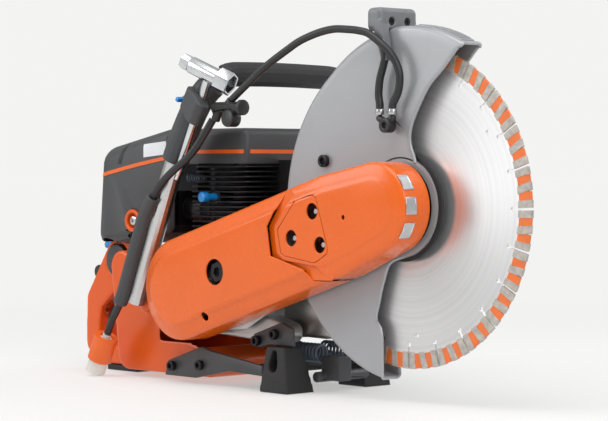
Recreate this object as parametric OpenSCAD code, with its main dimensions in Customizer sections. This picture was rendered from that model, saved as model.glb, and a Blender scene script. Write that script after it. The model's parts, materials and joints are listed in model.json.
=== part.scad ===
// Concrete cut-off saw: petrol engine, belt-driven diamond blade, swivelling guard.
// X points forward, Y to the saw's left, Z up. Every module is drawn with the blade's
// centre at zero, and in_place() then stands the saw on the floor.

/* [Blade and guard] */
// Blade diameter
blade_d = 350; // [290:1:420]
// Thickness of the blade's steel core
core_t = 2.8; // [2:0.1:4]
// Thickness of the diamond segments
segment_t = 3.8; // [3:0.1:5]
// Radial height of the diamond segments
segment_h = 17; // [8:1:24]
// Number of diamond segments
segment_n = 24; // [16:1:30]
// Diameter of the clamping flanges
flange_d = 102; // [90:1:110]
// Hole in the middle of the blade
arbor_d = 20; // [18:0.1:24]
// Gap from the blade's edge to the guard's rim
rim_gap = 9; // [6:1:14]
// Width of the guard across the blade
guard_w = 28; // [26:1:30]
// Sheet thickness of the guard
guard_t = 2; // [1.5:0.1:3]

/* [Drive] */
// Distance between the crankshaft and the blade's spindle
arm_l = 340; // [310:1:410]
// Rise of the cutting arm towards the blade, in degrees
arm_rise = 17.1; // [12:0.1:20]
// Diameter of the spindle in its bearings
spindle_d = 17; // [13:0.1:20.5]
// Radius of the spindle's pulley
driven_r = 40; // [34:1:41]
// Radius of the clutch's pulley
drive_r = 20; // [16:1:24]
// Width of the belt
belt_w = 13; // [10:0.5:15]
// Wall of the belt covers
cover_t = 2.5; // [2:0.1:4]

/* [Engine] */
// Bore of the cylinder
bore_d = 51; // [42:0.1:61]
// Piston stroke
stroke = 36; // [30:1:43]
// Diameter of the crankshaft's main journals
journal_d = 17; // [14:0.1:20.5]
// Number of cooling fins
fin_n = 15; // [10:1:18]

/* [Body and handles] */
// Length from the crankshaft to the back of the rear handle
rear_l = 266; // [255:1:320]
// Outside diameter of the front handle's tube
tube_d = 24; // [20:0.5:29]
// Height of the front handle above the blade's centre
handle_h = 152; // [140:1:180]
// Distance from the middle of the blade to the front handle's left leg
handle_w = 185; // [180:1:222]
// Height of the blade's centre above the blade guard's lowest point
rim_to_floor = 23; // [15:1:40]
// Wall of the plastic covers
shell_t = 2.5; // [2:0.1:4]
// Outside diameter of the water hoses
hose_d = 7; // [5.8:0.1:8.4]

/* [Hidden] */
$fn = 48;

orange = [0.93, 0.36, 0.12];
dark = [0.26, 0.26, 0.27];
black = [0.11, 0.11, 0.12];
silver = [0.72, 0.73, 0.74];
steel = [0.60, 0.61, 0.62];
guard_grey = [0.62, 0.65, 0.67];
blue = [0.05, 0.55, 0.85];

run = 0.05;                 // radial clearance of a running fit
gap = 0.3;                  // gap between faces that pass each other
blade_r = blade_d / 2;
rim_r = blade_r + rim_gap;
guard_y = guard_w / 2;
flange_r = flange_d / 2;
floor_z = -(rim_r + 6 + rim_to_floor);
crank = [-arm_l * cos(arm_rise), -arm_l * sin(arm_rise)];
cx = crank.x;
cz = crank.y;
cy = 32;                    // the middle of the engine

// The drive line, from the cover's face towards the blade
face_y = -64;               // the outer face of the rear cover
front_face_y = -60;         // the outer face of the front cover
belt_y0 = -54;
belt_y1 = belt_y0 + belt_w;
skirt_y = -20;              // the open edge of the covers, on the arm's plate
plate_y = -guard_y - 1.3;   // the back of the arm's plate, clear of the guard
boss_r = 30;
boss_y = -9.3;
spindle_r = spindle_d / 2;
bearing_r = spindle_r + 11.5;
bearing_w = 12;
bearing_y = [-36, -22.5];
arm_end = [0, 0, 44];
arm_neck = [-75, 0, 52];
arm_root = [-arm_l, 0, 55];
cover_end = [0, 0, 49];
cover_neck = [-72, 0, 57];
cover_root = [-arm_l, 0, 60];

// The rear body
rear_x = cx - rear_l;
handle_y = [12, 48];
opening_x = rear_x + 28;
tank_x = cx - 176;          // the back of the tank
tank_y = [-18, 105];
tank_z = floor_z + 7;
eye = [rear_x + 66, cz + 26];
cap_d = 40;
top_z = cz + 189;           // the top of the covers
cover_x = [cx - 226, cx - 70, cx + 65];
cover_y = [-8, 140];

// The front handle's leg, in the plane y = leg_y
leg_y = -40;
tube_r = tube_d / 2;
hose_r = hose_d / 2;
feed_r = 4.5;               // radius of the stiffer supply hose

mid_x = (rear_x + blade_r) / 2;
mid_y = (face_y + handle_w + tube_r) / 2;
module in_place() translate([-mid_x, -mid_y, -floor_z]) children();

// A cylinder that lies along Y, from y0 to y1
module rod_y(x, z, y0, y1, r) translate([x, y0, z]) rotate([-90, 0, 0]) cylinder(h = y1 - y0, r = r);
// A cylinder that lies along X
module rod_x(x0, x1, y, z, r) translate([x0, y, z]) rotate([0, 90, 0]) cylinder(h = x1 - x0, r = r);
// A plate from y0 to y1, whose outline is drawn in X and Z
module plate(y0, y1) translate([0, y1, 0]) rotate([90, 0, 0]) linear_extrude(y1 - y0) children();
module box(x, y, z) translate([x[0], y[0], z[0]]) cube([x[1] - x[0], y[1] - y[0], z[1] - z[0]]);
// Circles [x, y, r] joined one to the next, and circles wrapped in one convex outline
module chain(c) for (i = [0:len(c) - 2]) wrap([c[i], c[i + 1]]);
module wrap(c) hull() for (k = c) translate([k.x, k.y]) circle(k.z);
function grow(c, by) = [for (k = c) [k.x, k.y, k.z + by]];
// The frame of the cutting arm: X runs from the crankshaft to the spindle
module along_arm() rotate([0, -arm_rise, 0]) children();
function arm_xz(x, z) = [x * cos(arm_rise) - z * sin(arm_rise), x * sin(arm_rise) + z * cos(arm_rise)];
// A box with rounded edges
module soft_box(x, y, z, r) hull()
    for (i = x, j = y, k = z)
        translate([i + (i == x[0] ? r : -r), j + (j == y[0] ? r : -r), k + (k == z[0] ? r : -r)])
            sphere(r, $fn = 20);
module hexagon(flats) circle(flats / 2 / cos(30), $fn = 6);

// A smooth path through the points p, with n steps between two of them
function bend(p, n) = let (m = len(p) - 1) [for (i = [0:m - 1], s = [0:n - 1])
    spline(p[max(i - 1, 0)], p[i], p[i + 1], p[min(i + 2, m)], s / n), p[m]];
function spline(a, b, c, d, t) =
    (2 * b + (c - a) * t + (2 * a - 5 * b + 4 * c - d) * t * t + (3 * b - a - 3 * c + d) * t * t * t) / 2;
function unit(v) = v / norm(v);
function heading(p, i) = unit(p[min(i + 1, len(p) - 1)] - p[max(i - 1, 0)]);
// The side direction of every ring, carried along so that the tube doesn't twist
function sides(p, i, s) = let (t = heading(p, i), n = unit(s - (s * t) * t))
    i == len(p) - 1 ? [n] : concat([n], sides(p, i + 1, n));
module tube(p, r, n = 10) {
    first = abs(heading(p, 0).z) < 0.9 ? [0, 0, 1] : [1, 0, 0];
    side = sides(p, 0, first);
    m = len(p);
    polyhedron(
        points = [for (i = [0:m - 1], j = [0:n - 1]) let (t = heading(p, i), a = 360 * j / n)
            p[i] + r * (cos(a) * side[i] + sin(a) * cross(t, side[i]))],
        faces = concat([[for (j = [0:n - 1]) j]], [[for (j = [n - 1:-1:0]) (m - 1) * n + j]],
            [for (i = [0:m - 2], j = [0:n - 1]) let (k = (j + 1) % n)
                [i * n + j, (i + 1) * n + j, (i + 1) * n + k, i * n + k]]));
}
// A compression spring from p, of length l along X
module spring(p, l, r, wire, turns) {
    steps = 14;
    coil = [for (k = [0:turns * steps]) let (a = 360 * k / steps)
        [p.x + wire + (l - 2 * wire) * k / (turns * steps), p.y + r * cos(a), p.z + r * sin(a)]];
    tube(coil, wire, 6);
}
// A socket-head screw along Y; its head looks towards -Y
module screw_y(x, z, y, r, h) difference() {
    rod_y(x, z, y - h, y, r);
    translate([x, y - h * 0.4, z]) rotate([90, 0, 0]) linear_extrude(h) hexagon(r);
}

// ---- Blade, spindle and bearings ----
module blade_disc() color(silver) difference() {
    rod_y(0, 0, -core_t / 2, core_t / 2, blade_r - segment_h);
    rod_y(0, 0, -core_t, core_t, arbor_d / 2);
    for (k = [0:segment_n - 1]) rotate([0, 360 / segment_n * k, 0]) {
        rod_y(blade_r - segment_h - 9, 0, -core_t, core_t, 2.7, $fn = 16);
        box([blade_r - segment_h - 9, blade_r], [-core_t, core_t], [-1.1, 1.1]);
    }
    for (a = [35, 155, 275])
        rod_y((blade_r - 36) * cos(a), (blade_r - 36) * sin(a), -core_t, core_t, 2.5, $fn = 16);
}

module diamond_segments() color([0.75, 0.42, 0.22]) {
    half = 180 / segment_n - asin(1.1 / blade_r);
    inner = blade_r - segment_h;
    plate(-segment_t / 2, segment_t / 2) for (k = [0:segment_n - 1]) rotate(360 / segment_n * (k + 0.5))
        polygon(concat([for (i = [-2:2]) blade_r * [cos(half * i / 2), sin(half * i / 2)]],
            [for (i = [2:-1:-2]) (inner + 0.02) / cos(half / 4) * [cos(half * i / 2), sin(half * i / 2)]]));
}

module flange(y0, y1) difference() {
    rod_y(0, 0, y0, y1, flange_r);
    rod_y(0, 0, y0 - 1, y1 + 1, arbor_d / 2);
}
module inner_flange() color(black) flange(-8, -core_t / 2);
module outer_flange() color(steel) difference() {
    flange(core_t / 2, 8);
    for (a = [0, 180]) rod_y((flange_r - 14) * cos(a), 0, 4, 9, 4);
}

module spindle() color(steel) difference() {
    union() {
        rod_y(0, 0, belt_y0 - 3, boss_y + 0.3, spindle_r);
        rod_y(0, 0, boss_y + 0.3, -8, spindle_r + 4);
        rod_y(0, 0, -8, 7.4, arbor_d / 2);
    }
    rod_y(0, 0, -16, 9, 5);
}

module arbor_bolt() color(steel) {
    rod_y(0, 0, -14, 8, 4.95);
    rod_y(0, 0, 8, 10, 15);
    plate(10, 18) hexagon(19);
}

module driven_pulley() color(steel) difference() {
    union() {
        rod_y(0, 0, belt_y0 - 0.5, belt_y1 + 0.5, driven_r);
        rod_y(0, 0, belt_y0 - 1.5, belt_y0 - 0.5, driven_r + 4);
    }
    rod_y(0, 0, belt_y0 - 4, belt_y1 + 4, spindle_r);
    rotate([0, 30, 0]) for (a = [0:60:300])
        rod_y(spindle_r + 14, 0, belt_y0 - 4, belt_y1 + 4, 6) ;
}

module bearing(x, z, y, bore, outer) translate([x, y, z]) rotate([-90, 0, 0]) rotate_extrude() {
    race = (outer - bore) / 4;
    translate([bore, 0]) square([race, bearing_w]);
    translate([outer - race, 0]) square([race, bearing_w]);
    translate([bore + race, 1.5]) square([outer - bore - 2 * race, bearing_w - 3]);
}
module bearings() color(steel) {
    for (y = bearing_y) bearing(0, 0, y, spindle_r + run, bearing_r);
    for (y = main_y) bearing(cx, cz, y, journal_d / 2, main_r);
}

// ---- Cutting arm and belt drive ----
module cutting_arm() color(silver) difference() {
    union() {
        along_arm() plate(skirt_y, plate_y) wrap([arm_root, arm_neck, arm_end]);
        plate(skirt_y + 1, plate_y - 0.5) polygon([[cx + 20, cz - 50], [cx + 80, cz - 44], [cx + 150, cz - 6],
            [cx + 240, cz + 40], [cx + 100, cz]]);
        rod_y(0, 0, bearing_y[0] - 0.5, plate_y, bearing_r + 5);
        rod_y(0, 0, plate_y, boss_y, boss_r);
        rod_y(cx, cz, plate_y, main_y[0] - 2, 45);
        for (k = stud_at) rod_y(k.x, k.y, belt_y1 + 12, plate_y, 6);
        along_arm() plate(skirt_y - 4, plate_y) {
            translate([-arm_l + 60, 44]) square([arm_l - 150, 4]);
            translate([-arm_l + 60, -48]) square([arm_l - 150, 4]);
        }
    }
    rod_y(0, 0, bearing_y[0] - 1, boss_y - 0.8, bearing_r);
    rod_y(0, 0, boss_y - 1, 0, spindle_r + 5);
    rod_y(cx, cz, skirt_y - 9, main_y[0], main_r + 4);
    along_arm() for (x = [-arm_l + 95, -arm_l + 150])
        plate(skirt_y - 9, plate_y + 1) translate([x, 0]) circle(17);
}
stud_at = [arm_xz(-89, 22), arm_xz(-130, 3), arm_xz(-88, -16.5)];
tension_at = arm_xz(78 - arm_l, 0);

module belt_loop(by) wrap([[-arm_l, 0, drive_r + gap + by], [0, 0, driven_r + gap + by]]);
module drive_belt() color(black) along_arm() plate(belt_y0, belt_y1) difference() {
    belt_loop(3.5);
    belt_loop(0);
}

// The line on which the two covers meet, in the arm's frame
joint = [[-120, 90], [-120, 58], [-161, 25.5], [-165, -7.5], [-118, -36], [-111, -51], [-81, -60], [-81, -90]];
module cover_half(front) intersection() {
    children();
    polygon(concat(joint, front ? [[120, -90], [120, 90]] : [[-arm_l - 120, -90], [-arm_l - 120, 90]]));
}
module cover(front, y) difference() {
    along_arm() difference() {
        plate(y, skirt_y) cover_half(front) wrap([cover_root, cover_neck, cover_end]);
        plate(y + cover_t, skirt_y + 1) wrap(grow([cover_root, cover_neck, cover_end], -cover_t));
    }
    children();
}
module belt_cover_front() color(orange) cover(true, front_face_y) {
    for (k = stud_at) rod_y(k.x, k.y, face_y, skirt_y, 9);
    hole = arm_xz(-44, 2);
    rod_y(hole.x, hole.y, face_y, skirt_y, 2.6);
    along_arm() for (a = [17, -14, -46]) rotate([0, -a, 0])
        box([cover_end.z - 8, cover_end.z + 5], [-56, -40], [-9, 9]);
}
module belt_cover_rear() color(orange) cover(false, face_y) {
    rod_y(tension_at.x, tension_at.y, face_y - 1, skirt_y, 15);
    hole = arm_xz(44 - arm_l, -44);
    rod_y(hole.x, hole.y, face_y - 1, skirt_y, 5);
}

module cover_nuts() color(black) {
    for (k = stud_at) translate([0, -1, 0]) {
        plate(belt_y1 + 5, belt_y1 + 13) translate(k) hexagon(13);
        rod_y(k.x, k.y, belt_y1 + 1, belt_y1 + 5, 4);
    }
    difference() {
        union() {
            plate(-60, -50) translate(tension_at) hexagon(24);
            rod_y(tension_at.x, tension_at.y, -50, skirt_y - 4, 6);
        }
        rod_y(tension_at.x, tension_at.y, -61, -54, 5);
    }
}

module clutch_drum() color(steel) difference() {
    union() {
        rod_y(cx, cz, belt_y0, belt_y1 + 0.5, drive_r);
        rod_y(cx, cz, belt_y1 + 0.5, -23, 38);
    }
    rod_y(cx, cz, belt_y1 + 3, -22, 35.5);
    rod_y(cx, cz, belt_y0 - 1, belt_y1 + 4, crank_end_r + run);
}
crank_end_r = journal_d / 2 - 2.5;
module clutch() color(steel) {
    difference() {
        rod_y(cx, cz, belt_y1 + 4, -26, 13);
        rod_y(cx, cz, belt_y1 + 3, -25, crank_end_r);
    }
    for (k = [0:2]) translate([cx, 0, cz]) rotate([0, 120 * k, 0]) plate(belt_y1 + 5, -25) intersection() {
        difference() {
            circle(34);
            circle(15);
        }
        polygon([[0, 0], [40, -50], [60, 0], [40, 50]]);
    }
}

// ---- Engine ----
main_r = journal_d / 2 + 11;
main_y = [cy - 40, cy + 28];
web_y = [[cy - 22, cy - 8], [cy + 8, cy + 22]];
throw = stroke / 2;
rod_l = 64;
pin_z = cz + throw;              // the crank pin, with the piston at the top
wrist_z = pin_z + rod_l;
crown_z = wrist_z + 22;
bore_r = bore_d / 2;
case_r = 52;
base_z = cz + case_r;            // the foot of the cylinder

module crankshaft() color(steel) {
    rod_y(cx, cz, belt_y0 - 2, main_y[0] - 2, crank_end_r);
    rod_y(cx, cz, main_y[0] - 2, web_y[0][0], journal_d / 2);
    rod_y(cx, cz, web_y[1][1], wheel_y[1] + 3, journal_d / 2);
    for (w = web_y) plate(w[0], w[1]) intersection() {
        chain([[cx, cz - 10, 26], [cx, pin_z, 11]]);
        translate([cx, cz]) circle(38);
    }
    rod_y(cx, pin_z, web_y[0][1], web_y[1][0], 7);
}

module connecting_rod() color(steel) plate(cy - 5, cy + 5) difference() {
    union() {
        translate([cx, pin_z]) circle(12);
        translate([cx, wrist_z]) circle(9);
        translate([cx - 5, pin_z]) square([10, rod_l]);
    }
    translate([cx, pin_z]) circle(7 + run);
    translate([cx, wrist_z]) circle(5.5 + run);
}

module piston() color(silver) {
    difference() {
        translate([cx, cy, wrist_z - 16]) cylinder(h = crown_z - wrist_z + 16, r = bore_r - run);
        translate([cx, cy, wrist_z - 17]) cylinder(h = crown_z - wrist_z + 11, r = bore_r - 3.5);
        rod_y(cx, wrist_z, cy - bore_r, cy + bore_r, 5.5);
        for (z = [3, 7]) translate([cx, cy, crown_z - z]) difference() {
            cylinder(h = 1.5, r = bore_r + 1);
            translate([0, 0, -1]) cylinder(h = 4, r = bore_r - 2);
        }
    }
    rod_y(cx, wrist_z, cy - bore_r + 2, cy + bore_r - 2, 5.5);
}

fin_x = [cx - 30, cx + 66];
fin_y = [cy - 43, cy + 43];
fin_z0 = base_z + 8;
fin_pitch = 5.9;
fin_top = fin_z0 + (fin_n - 1) * fin_pitch + 2;
module cylinder_part() difference() {
    union() {
        translate([cx, cy, base_z]) cylinder(h = fin_top - base_z, r = bore_r + 4);
        box([cx - 34, cx + 34], [cy - 34, cy + 34], [base_z, base_z + 6]);
        for (k = [0:fin_n - 1]) translate([fin_x[0], fin_y[0], fin_z0 + k * fin_pitch]) linear_extrude(2)
            fin(fin_x[1] - fin_x[0], fin_y[1] - fin_y[0], 6 + (k > fin_n - 5 ? 10 : 0));
        rod_x(cx - 46, cx, cy, base_z + 40, 15);
        rod_x(cx, cx + 76, cy + 10, base_z + 34, 17);
        rod_y(decomp.x, decomp.z, fin_y[0] + 2, cy, 8);
    }
    translate([cx, cy, base_z - 1]) cylinder(h = crown_z + 6 - base_z, r = bore_r);
    rod_x(cx - 47, cx - 10, cy, base_z + 40, 11);
    rod_x(cx + 10, cx + 77, cy + 10, base_z + 34, 12);
    rod_y(decomp.x, decomp.z, fin_y[0] - 1, cy, 4.2);
    rod_y(decomp.x, decomp.z, fin_y[0] - 1, fin_y[0] + 2, 9);
    translate([cx + 12, cy, crown_z]) cylinder(h = 60, r = 5);
    translate([cx + 12, cy, fin_top - 18]) cylinder(h = 30, r = 11);
}
module fin(l, w, r) {
    translate([r, 0]) square([l - 2 * r, w]);
    translate([0, r]) square([l, w - 2 * r]);
    for (x = [r, l - r], y = [r, w - r]) translate([x, y]) circle(r);
}
decomp = [cx + 14, cy - 64, base_z + 56];
module cylinder_node() color(black) cylinder_part();

module decompression_valve() color(blue) {
    rod_y(decomp.x, decomp.z, decomp.y, decomp.y + 9, 6);
    rod_y(decomp.x, decomp.z, decomp.y + 9, fin_y[0] + 12, 4.2 - run);
}

module spark_plug() color([0.85, 0.85, 0.83]) {
    translate([cx + 12, cy, crown_z + 8]) cylinder(h = 45, r = 5 - run);
    translate([cx + 12, cy, fin_top - 17.9]) linear_extrude(9) hexagon(16);
    translate([cx + 12, cy, fin_top - 9]) cylinder(h = 20, r = 8);
}

case_belly = [[cx + 20, cz - 30, 24], [cx + 84, cz - 44, 12]];
module case_outline(r) {
    translate([cx, cz]) circle(r);
    translate([cx - 36, cz]) square([72, base_z - cz]);
}
module crankcase(y0, y1) difference() {
    union() {
        plate(y0, y1) case_outline(case_r);
        children();
    }
    rod_y(cx, cz, cy - 23, cy + 23, case_r - 12);
    translate([cx, cy, cz]) cylinder(h = base_z - cz + 1, r = bore_r + 0.5);
    for (y = main_y) rod_y(cx, cz, y, y + bearing_w, main_r);
    rod_y(cx, cz, main_y[0] - 20, cy + 90, journal_d / 2 + 1.5);
}
module crankcase_right() color(silver) crankcase(main_y[0] - 2, cy) {
    plate(main_y[0] - 2, cy) wrap(case_belly);
    plate(main_y[0] - 2, muffler_y[0] - 4) wrap([case_belly[0], [cx + 130, cz - 47, 12]]);
    rod_y(cx, cz, skirt_y, main_y[0] - 2, main_r + 3.8);
}
module crankcase_left() color(silver) crankcase(cy, main_y[1] + bearing_w + 2) {
    plate(cy, main_y[1] + bearing_w + 2) wrap(case_belly);
}

wheel_y = [main_y[1] + 20, main_y[1] + 42];
module flywheel() color(silver) difference() {
    union() {
        rod_y(cx, cz, wheel_y[0] + 8, wheel_y[0] + 14, 54);
        rod_y(cx, cz, wheel_y[0], wheel_y[1], 16);
        for (k = [0:15]) translate([cx, 0, cz]) rotate([0, 22.5 * k, 0])
            box([20, 53], [wheel_y[0] + 13, wheel_y[1]], [-1.2, 1.2]);
    }
    rod_y(cx, cz, wheel_y[0] - 1, wheel_y[1] + 1, journal_d / 2);
}

rope_r = 1.75;
rope_z = 24;                // the rope winds on the reel at this radius
starter_y = [wheel_y[0] - 4, cy + 122];
reel_y = [wheel_y[1] + 6, wheel_y[1] + 18];
module starter_cover() color(dark) difference() {
    union() {
        rod_y(cx, cz, starter_y[0], starter_y[1], 67);
        rod_x(cx - 84, cx, reel_y[0] + 6, cz + rope_z, 10);
    }
    rod_y(cx, cz, starter_y[0] - 1, starter_y[1] - shell_t, 67 - shell_t);
    rod_x(cx - 85, cx - 40, reel_y[0] + 6, cz + rope_z, 3.5);
    rod_x(cx - 85, cx - 74, reel_y[0] + 6, cz + rope_z, 7.5);
    for (k = [0:23]) translate([cx, 0, cz]) rotate([0, 15 * k, 0])
        box([34, 58], [starter_y[1] - 9, starter_y[1] + 1], [-2, 2]);
}
module starter_reel() color(black) difference() {
    union() {
        rod_y(cx, cz, reel_y[0], reel_y[0] + 2, 40);
        rod_y(cx, cz, reel_y[0] + 2, reel_y[1] - 2, rope_z - rope_r);
        rod_y(cx, cz, reel_y[1] - 2, reel_y[1], 40);
        rod_y(cx, cz, reel_y[1], starter_y[1] - shell_t, 9);
    }
    rod_y(cx, cz, reel_y[0] - 1, reel_y[0] + 5, 12);
}
module starter_grip() color(black) {
    y = reel_y[0] + 6;
    rod_x(cx - 75, cx - 50, y, cz + rope_z, rope_r);
    rod_x(cx - 84, cx - 75, y, cz + rope_z, 7.5 - gap);
    hull() for (z = [-13, 13]) translate([0, 0, z]) rod_x(cx - 95, cx - 84, y, cz + rope_z, 6, $fn = 24);
}

muffler_y = [guard_y + 4, guard_y + 98];
module muffler_outline(t) wrap(grow([[cx + 118, cz - 36, 16], [cx + 172, cz - 40, 13],
    [cx + 172, cz + 92, 13], [cx + 118, cz + 92, 16]], -t));
module muffler() color([0.66, 0.65, 0.62]) difference() {
    union() {
        plate(muffler_y[0], muffler_y[1]) muffler_outline(0);
        rod_x(cx + 77.2, cx + 104, cy + 10, base_z + 34, 17);
    }
    plate(muffler_y[0] + 1.2, muffler_y[1] - 1.2) muffler_outline(1.2);
    rod_x(cx + 76, cx + 110, cy + 10, base_z + 34, 12);
    for (k = [0:4]) box([cx + 150, cx + 200], [muffler_y[1] - 40, muffler_y[1] - 12],
        [cz - 24 + 9 * k, cz - 20 + 9 * k]);
}

intake_z = base_z + 40;
module carburettor() color(silver) difference() {
    union() {
        box([cx - 112, cx - 78], [cy - 20, cy + 20], [intake_z - 20, intake_z + 22]);
        rod_x(cx - 78, cx - 46, cy, intake_z, 15);
        rod_x(cx - 128, cx - 112, cy, intake_z, 16);
        rod_y(cx - 95, intake_z + 8, cy - 27, cy - 20, 5);
    }
    rod_x(cx - 129, cx - 45, cy, intake_z, 11);
}

module air_filter() color([0.85, 0.82, 0.70]) difference() {
    box([cx - 198, cx - 128], [14, 112], [cz + 78, cz + 164]);
    rod_x(cx - 170, cx - 127, cy, intake_z, 12);
    for (k = [0:10]) box([cx - 192 + 6 * k, cx - 190 + 6 * k], [10, 120], [cz + 140, cz + 170]);
}

// ---- Covers ----
module filter_hull(t) hull() {
    for (y = [cover_y[0] + 25, cover_y[1] - 25]) {
        translate([cover_x[0] + 25, y, cz + 62]) sphere(25 - t, $fn = 24);
        translate([cover_x[0] + 32, y, top_z - 44]) sphere(25 - t, $fn = 24);
    }
    for (y = [cover_y[0] + 12, cover_y[1] - 12]) {
        translate([cover_x[1] - 12, y, top_z - 12]) sphere(12 - t, $fn = 20);
        translate([cover_x[1] - 12, y, cz + 74]) sphere(12 - t, $fn = 20);
    }
}
screw_x = cover_x[0] + 82;
screw_z = cz + 77;
module filter_cover() color(dark) difference() {
    union() {
        difference() {
            filter_hull(0);
            filter_hull(shell_t);
        }
        rod_y(screw_x, screw_z, cover_y[0] + 1, cover_y[0] + 16, 17);
    }
    box([cover_x[0] - 1, cover_x[1] + 1], [cover_y[0] - 1, cover_y[1] + 1], [cz - 10, cz + 49]);
    rod_y(eye.x, eye.y, cover_y[0] - 1, handle_y[1] + 2, 28);
    rod_y(screw_x, screw_z, cover_y[0] - 2, cover_y[0] + 12, 14);
    box([cover_x[0] - 1, cover_x[0] + 14], [cover_y[0] + 34, cover_y[0] + 44], [top_z - 56, top_z - 24]);
    box([cover_x[1] - 8, cover_x[1] + 1], [cover_y[0] + 8, cover_y[1] - 8], [cz + 60, top_z - 8]);
}

module top_hull(t) hull() for (y = [cover_y[0] + 10, cover_y[1] - 10]) {
    for (x = [cover_x[1] + 14, cover_x[2] - 10], z = [top_z - 10, cz + 150])
        translate([x, y, z]) sphere(10 - t, $fn = 20);
}
module cylinder_cover() color(dark) difference() {
    top_hull(0);
    top_hull(shell_t);
    box([cover_x[1], cover_x[2]], [cover_y[0] - 1, cover_y[1] + 1], [cz + 100, cz + 146]);
    box([cover_x[1] + 3, cover_x[1] + 12], [cover_y[0] + 10, cover_y[1] - 10], [cz + 140, top_z - 10]);
}

// ---- Rear handle, tank and controls ----
loop = [[eye.x, eye.y, 27], [rear_x + 17, eye.y - 52, 16], [rear_x + 14, eye.y - 80, 14],
    [rear_x + 14, tank_z + 26, 14], [rear_x + 30, tank_z + 12, 12]];
slot_y = [handle_y[0] + 10, handle_y[1] - 10];
module rear_handle() color(orange) {
    handle_body();
    for (k = [trigger_at, lock_at, switch_at]) rod_y(k.x, k.y, handle_y[0] + 6, handle_y[1] - 6, 2);
}
module handle_body() difference() {
    union() {
        plate(handle_y[0], handle_y[1]) chain(loop);
        box([rear_x + 30, tank_x + 40], handle_y, [tank_z, tank_z + 24]);
        plate(handle_y[0], handle_y[1]) chain([[eye.x, eye.y, 27], [tank_x + 20, eye.y - 6, 26]]);
        plate(tank_y[0], tank_y[1]) tank_outline(0);
        rod_y(cx - 98, cz - 20, leg_y + tube_r, tank_y[0] + 3, 13);
        rod_y(cx - 98, cz - 20, tank_y[1] - 3, tank_y[1] + 5, 16);
    }
    plate(tank_y[0] + 3, tank_y[1] - 3) tank_outline(3);
    rod_y(eye.x, eye.y, handle_y[0] - 1, handle_y[0] + 6, cap_d / 2 + 0.6);
    rod_y(fuel_at.x, fuel_at.y, tank_y[1] - 4, tank_y[1] + 1, 14);
    plate(slot_y[0] - 1, slot_y[1] + 1) polygon([[rear_x + 22, eye.y - 62], [rear_x + 62, eye.y - 24],
        [rear_x + 78, eye.y - 40], [rear_x + 40, eye.y - 80]]);
    box([rear_x - 1, rear_x + 38], [slot_y[0] - 1, slot_y[1] + 1], [eye.y - 34, eye.y - 4]);
    plate(handle_y[0] + 12, handle_y[1] - 12) translate([rear_x + 36, eye.y + 4]) square([16, 26]);
    rod_y(cx, cz, tank_y[0] - 1, tank_y[1] + 1, 70);
    box([cx - 80, cx + 40], [tank_y[0] - 1, tank_y[1] + 1], [cz - 66, cz]);
}
module tank_outline(t) wrap(grow([[tank_x + 20, eye.y - 6, 20], [tank_x + 34, tank_z + 20, 20],
    [cx + 10, tank_z + 14, 14], [cx - 90, cz - 30, 22]], -t));
fuel_at = [tank_x + 42, cz - 44];

module fuel_cap() color(black) difference() {
    union() {
        rod_y(fuel_at.x, fuel_at.y, tank_y[1] - 3.5, tank_y[1] + gap, 14 - run);
        rod_y(fuel_at.x, fuel_at.y, tank_y[1] + gap, tank_y[1] + 12, 19);
    }
    for (k = [0:11]) rotate_about(fuel_at, 30 * k)
        rod_y(fuel_at.x + 20, fuel_at.y, tank_y[1] - 5, tank_y[1] + 13, 2, $fn = 16);
}
module rotate_about(p, a) translate([p.x, 0, p.y]) rotate([0, a, 0]) translate([-p.x, 0, -p.y]) children();

trigger_at = [rear_x + 64, eye.y - 36];
module throttle_trigger() color(black) plate(slot_y[0], slot_y[1]) difference() {
    union() {
        chain([[trigger_at.x, trigger_at.y, 5], [rear_x + 48, eye.y - 57, 4]]);
        chain([[rear_x + 48, eye.y - 57, 4], [rear_x + 36, eye.y - 74, 3.5]]);
    }
    translate(trigger_at) circle(2 + run);
}
lock_at = [rear_x + 31, eye.y - 12];
module throttle_lock() color(black) plate(slot_y[0], slot_y[1]) difference() {
    chain([[lock_at.x, lock_at.y, 5], [rear_x + 13, eye.y - 17, 9]]);
    translate(lock_at) circle(2 + run);
}
switch_at = [rear_x + 44, eye.y + 15];
module stop_switch() color(blue) plate(handle_y[0] + 13, handle_y[1] - 13) difference() {
    chain([[switch_at.x, switch_at.y, 4.5], [rear_x + 26, eye.y + 18, 4.5]]);
    translate(switch_at) circle(2 + run);
}
module mount_cap() color(dark) rod_y(eye.x, eye.y, handle_y[0] - 3, handle_y[0] + 5.9, cap_d / 2);

// ---- Front handle ----
leg = [[cx - 98, leg_y, cz - 20], [cx - 73, leg_y, cz + 39], [cx - 44, leg_y, cz + 105], [cx - 28, leg_y, cz + 140],
    [cx - 4, leg_y, cz + 186], [cx + 24, leg_y + 2, handle_h - 26], [cx + 44, leg_y + 18, handle_h - 4],
    [cx + 50, 10, handle_h], [cx + 50, handle_w - 75, handle_h], [cx + 47, handle_w - 28, handle_h - 4],
    [cx + 30, handle_w - 3, handle_h - 28], [cx, handle_w, handle_h - 64], [cx - 30, handle_w, 30],
    [cx - 60, handle_w, cz + 60], [cx - 86, handle_w - 8, cz + 12], [cx - 98, handle_w - 40, cz - 16],
    [cx - 98, tank_y[1] + 16, cz - 20], [cx - 98, tank_y[1] + 6, cz - 20]];
leg_steps = 4;
leg_path = bend(leg, leg_steps);
grip_from = 6 * leg_steps;
grip_to = 10 * leg_steps;
module front_handle() color(silver) tube(leg_path, tube_r, 16);
module sleeve(from, to, r) {
    part = [for (i = [from:to]) leg_path[i]];
    difference() {
        tube(part, r, 16);
        tube([for (i = [from - 1:to + 1]) leg_path[i]], tube_r / cos(180 / 16) + 0.05, 16);
    }
}
module handle_grip() color(black) sleeve(grip_from, grip_to, tube_r + 2.5);

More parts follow.
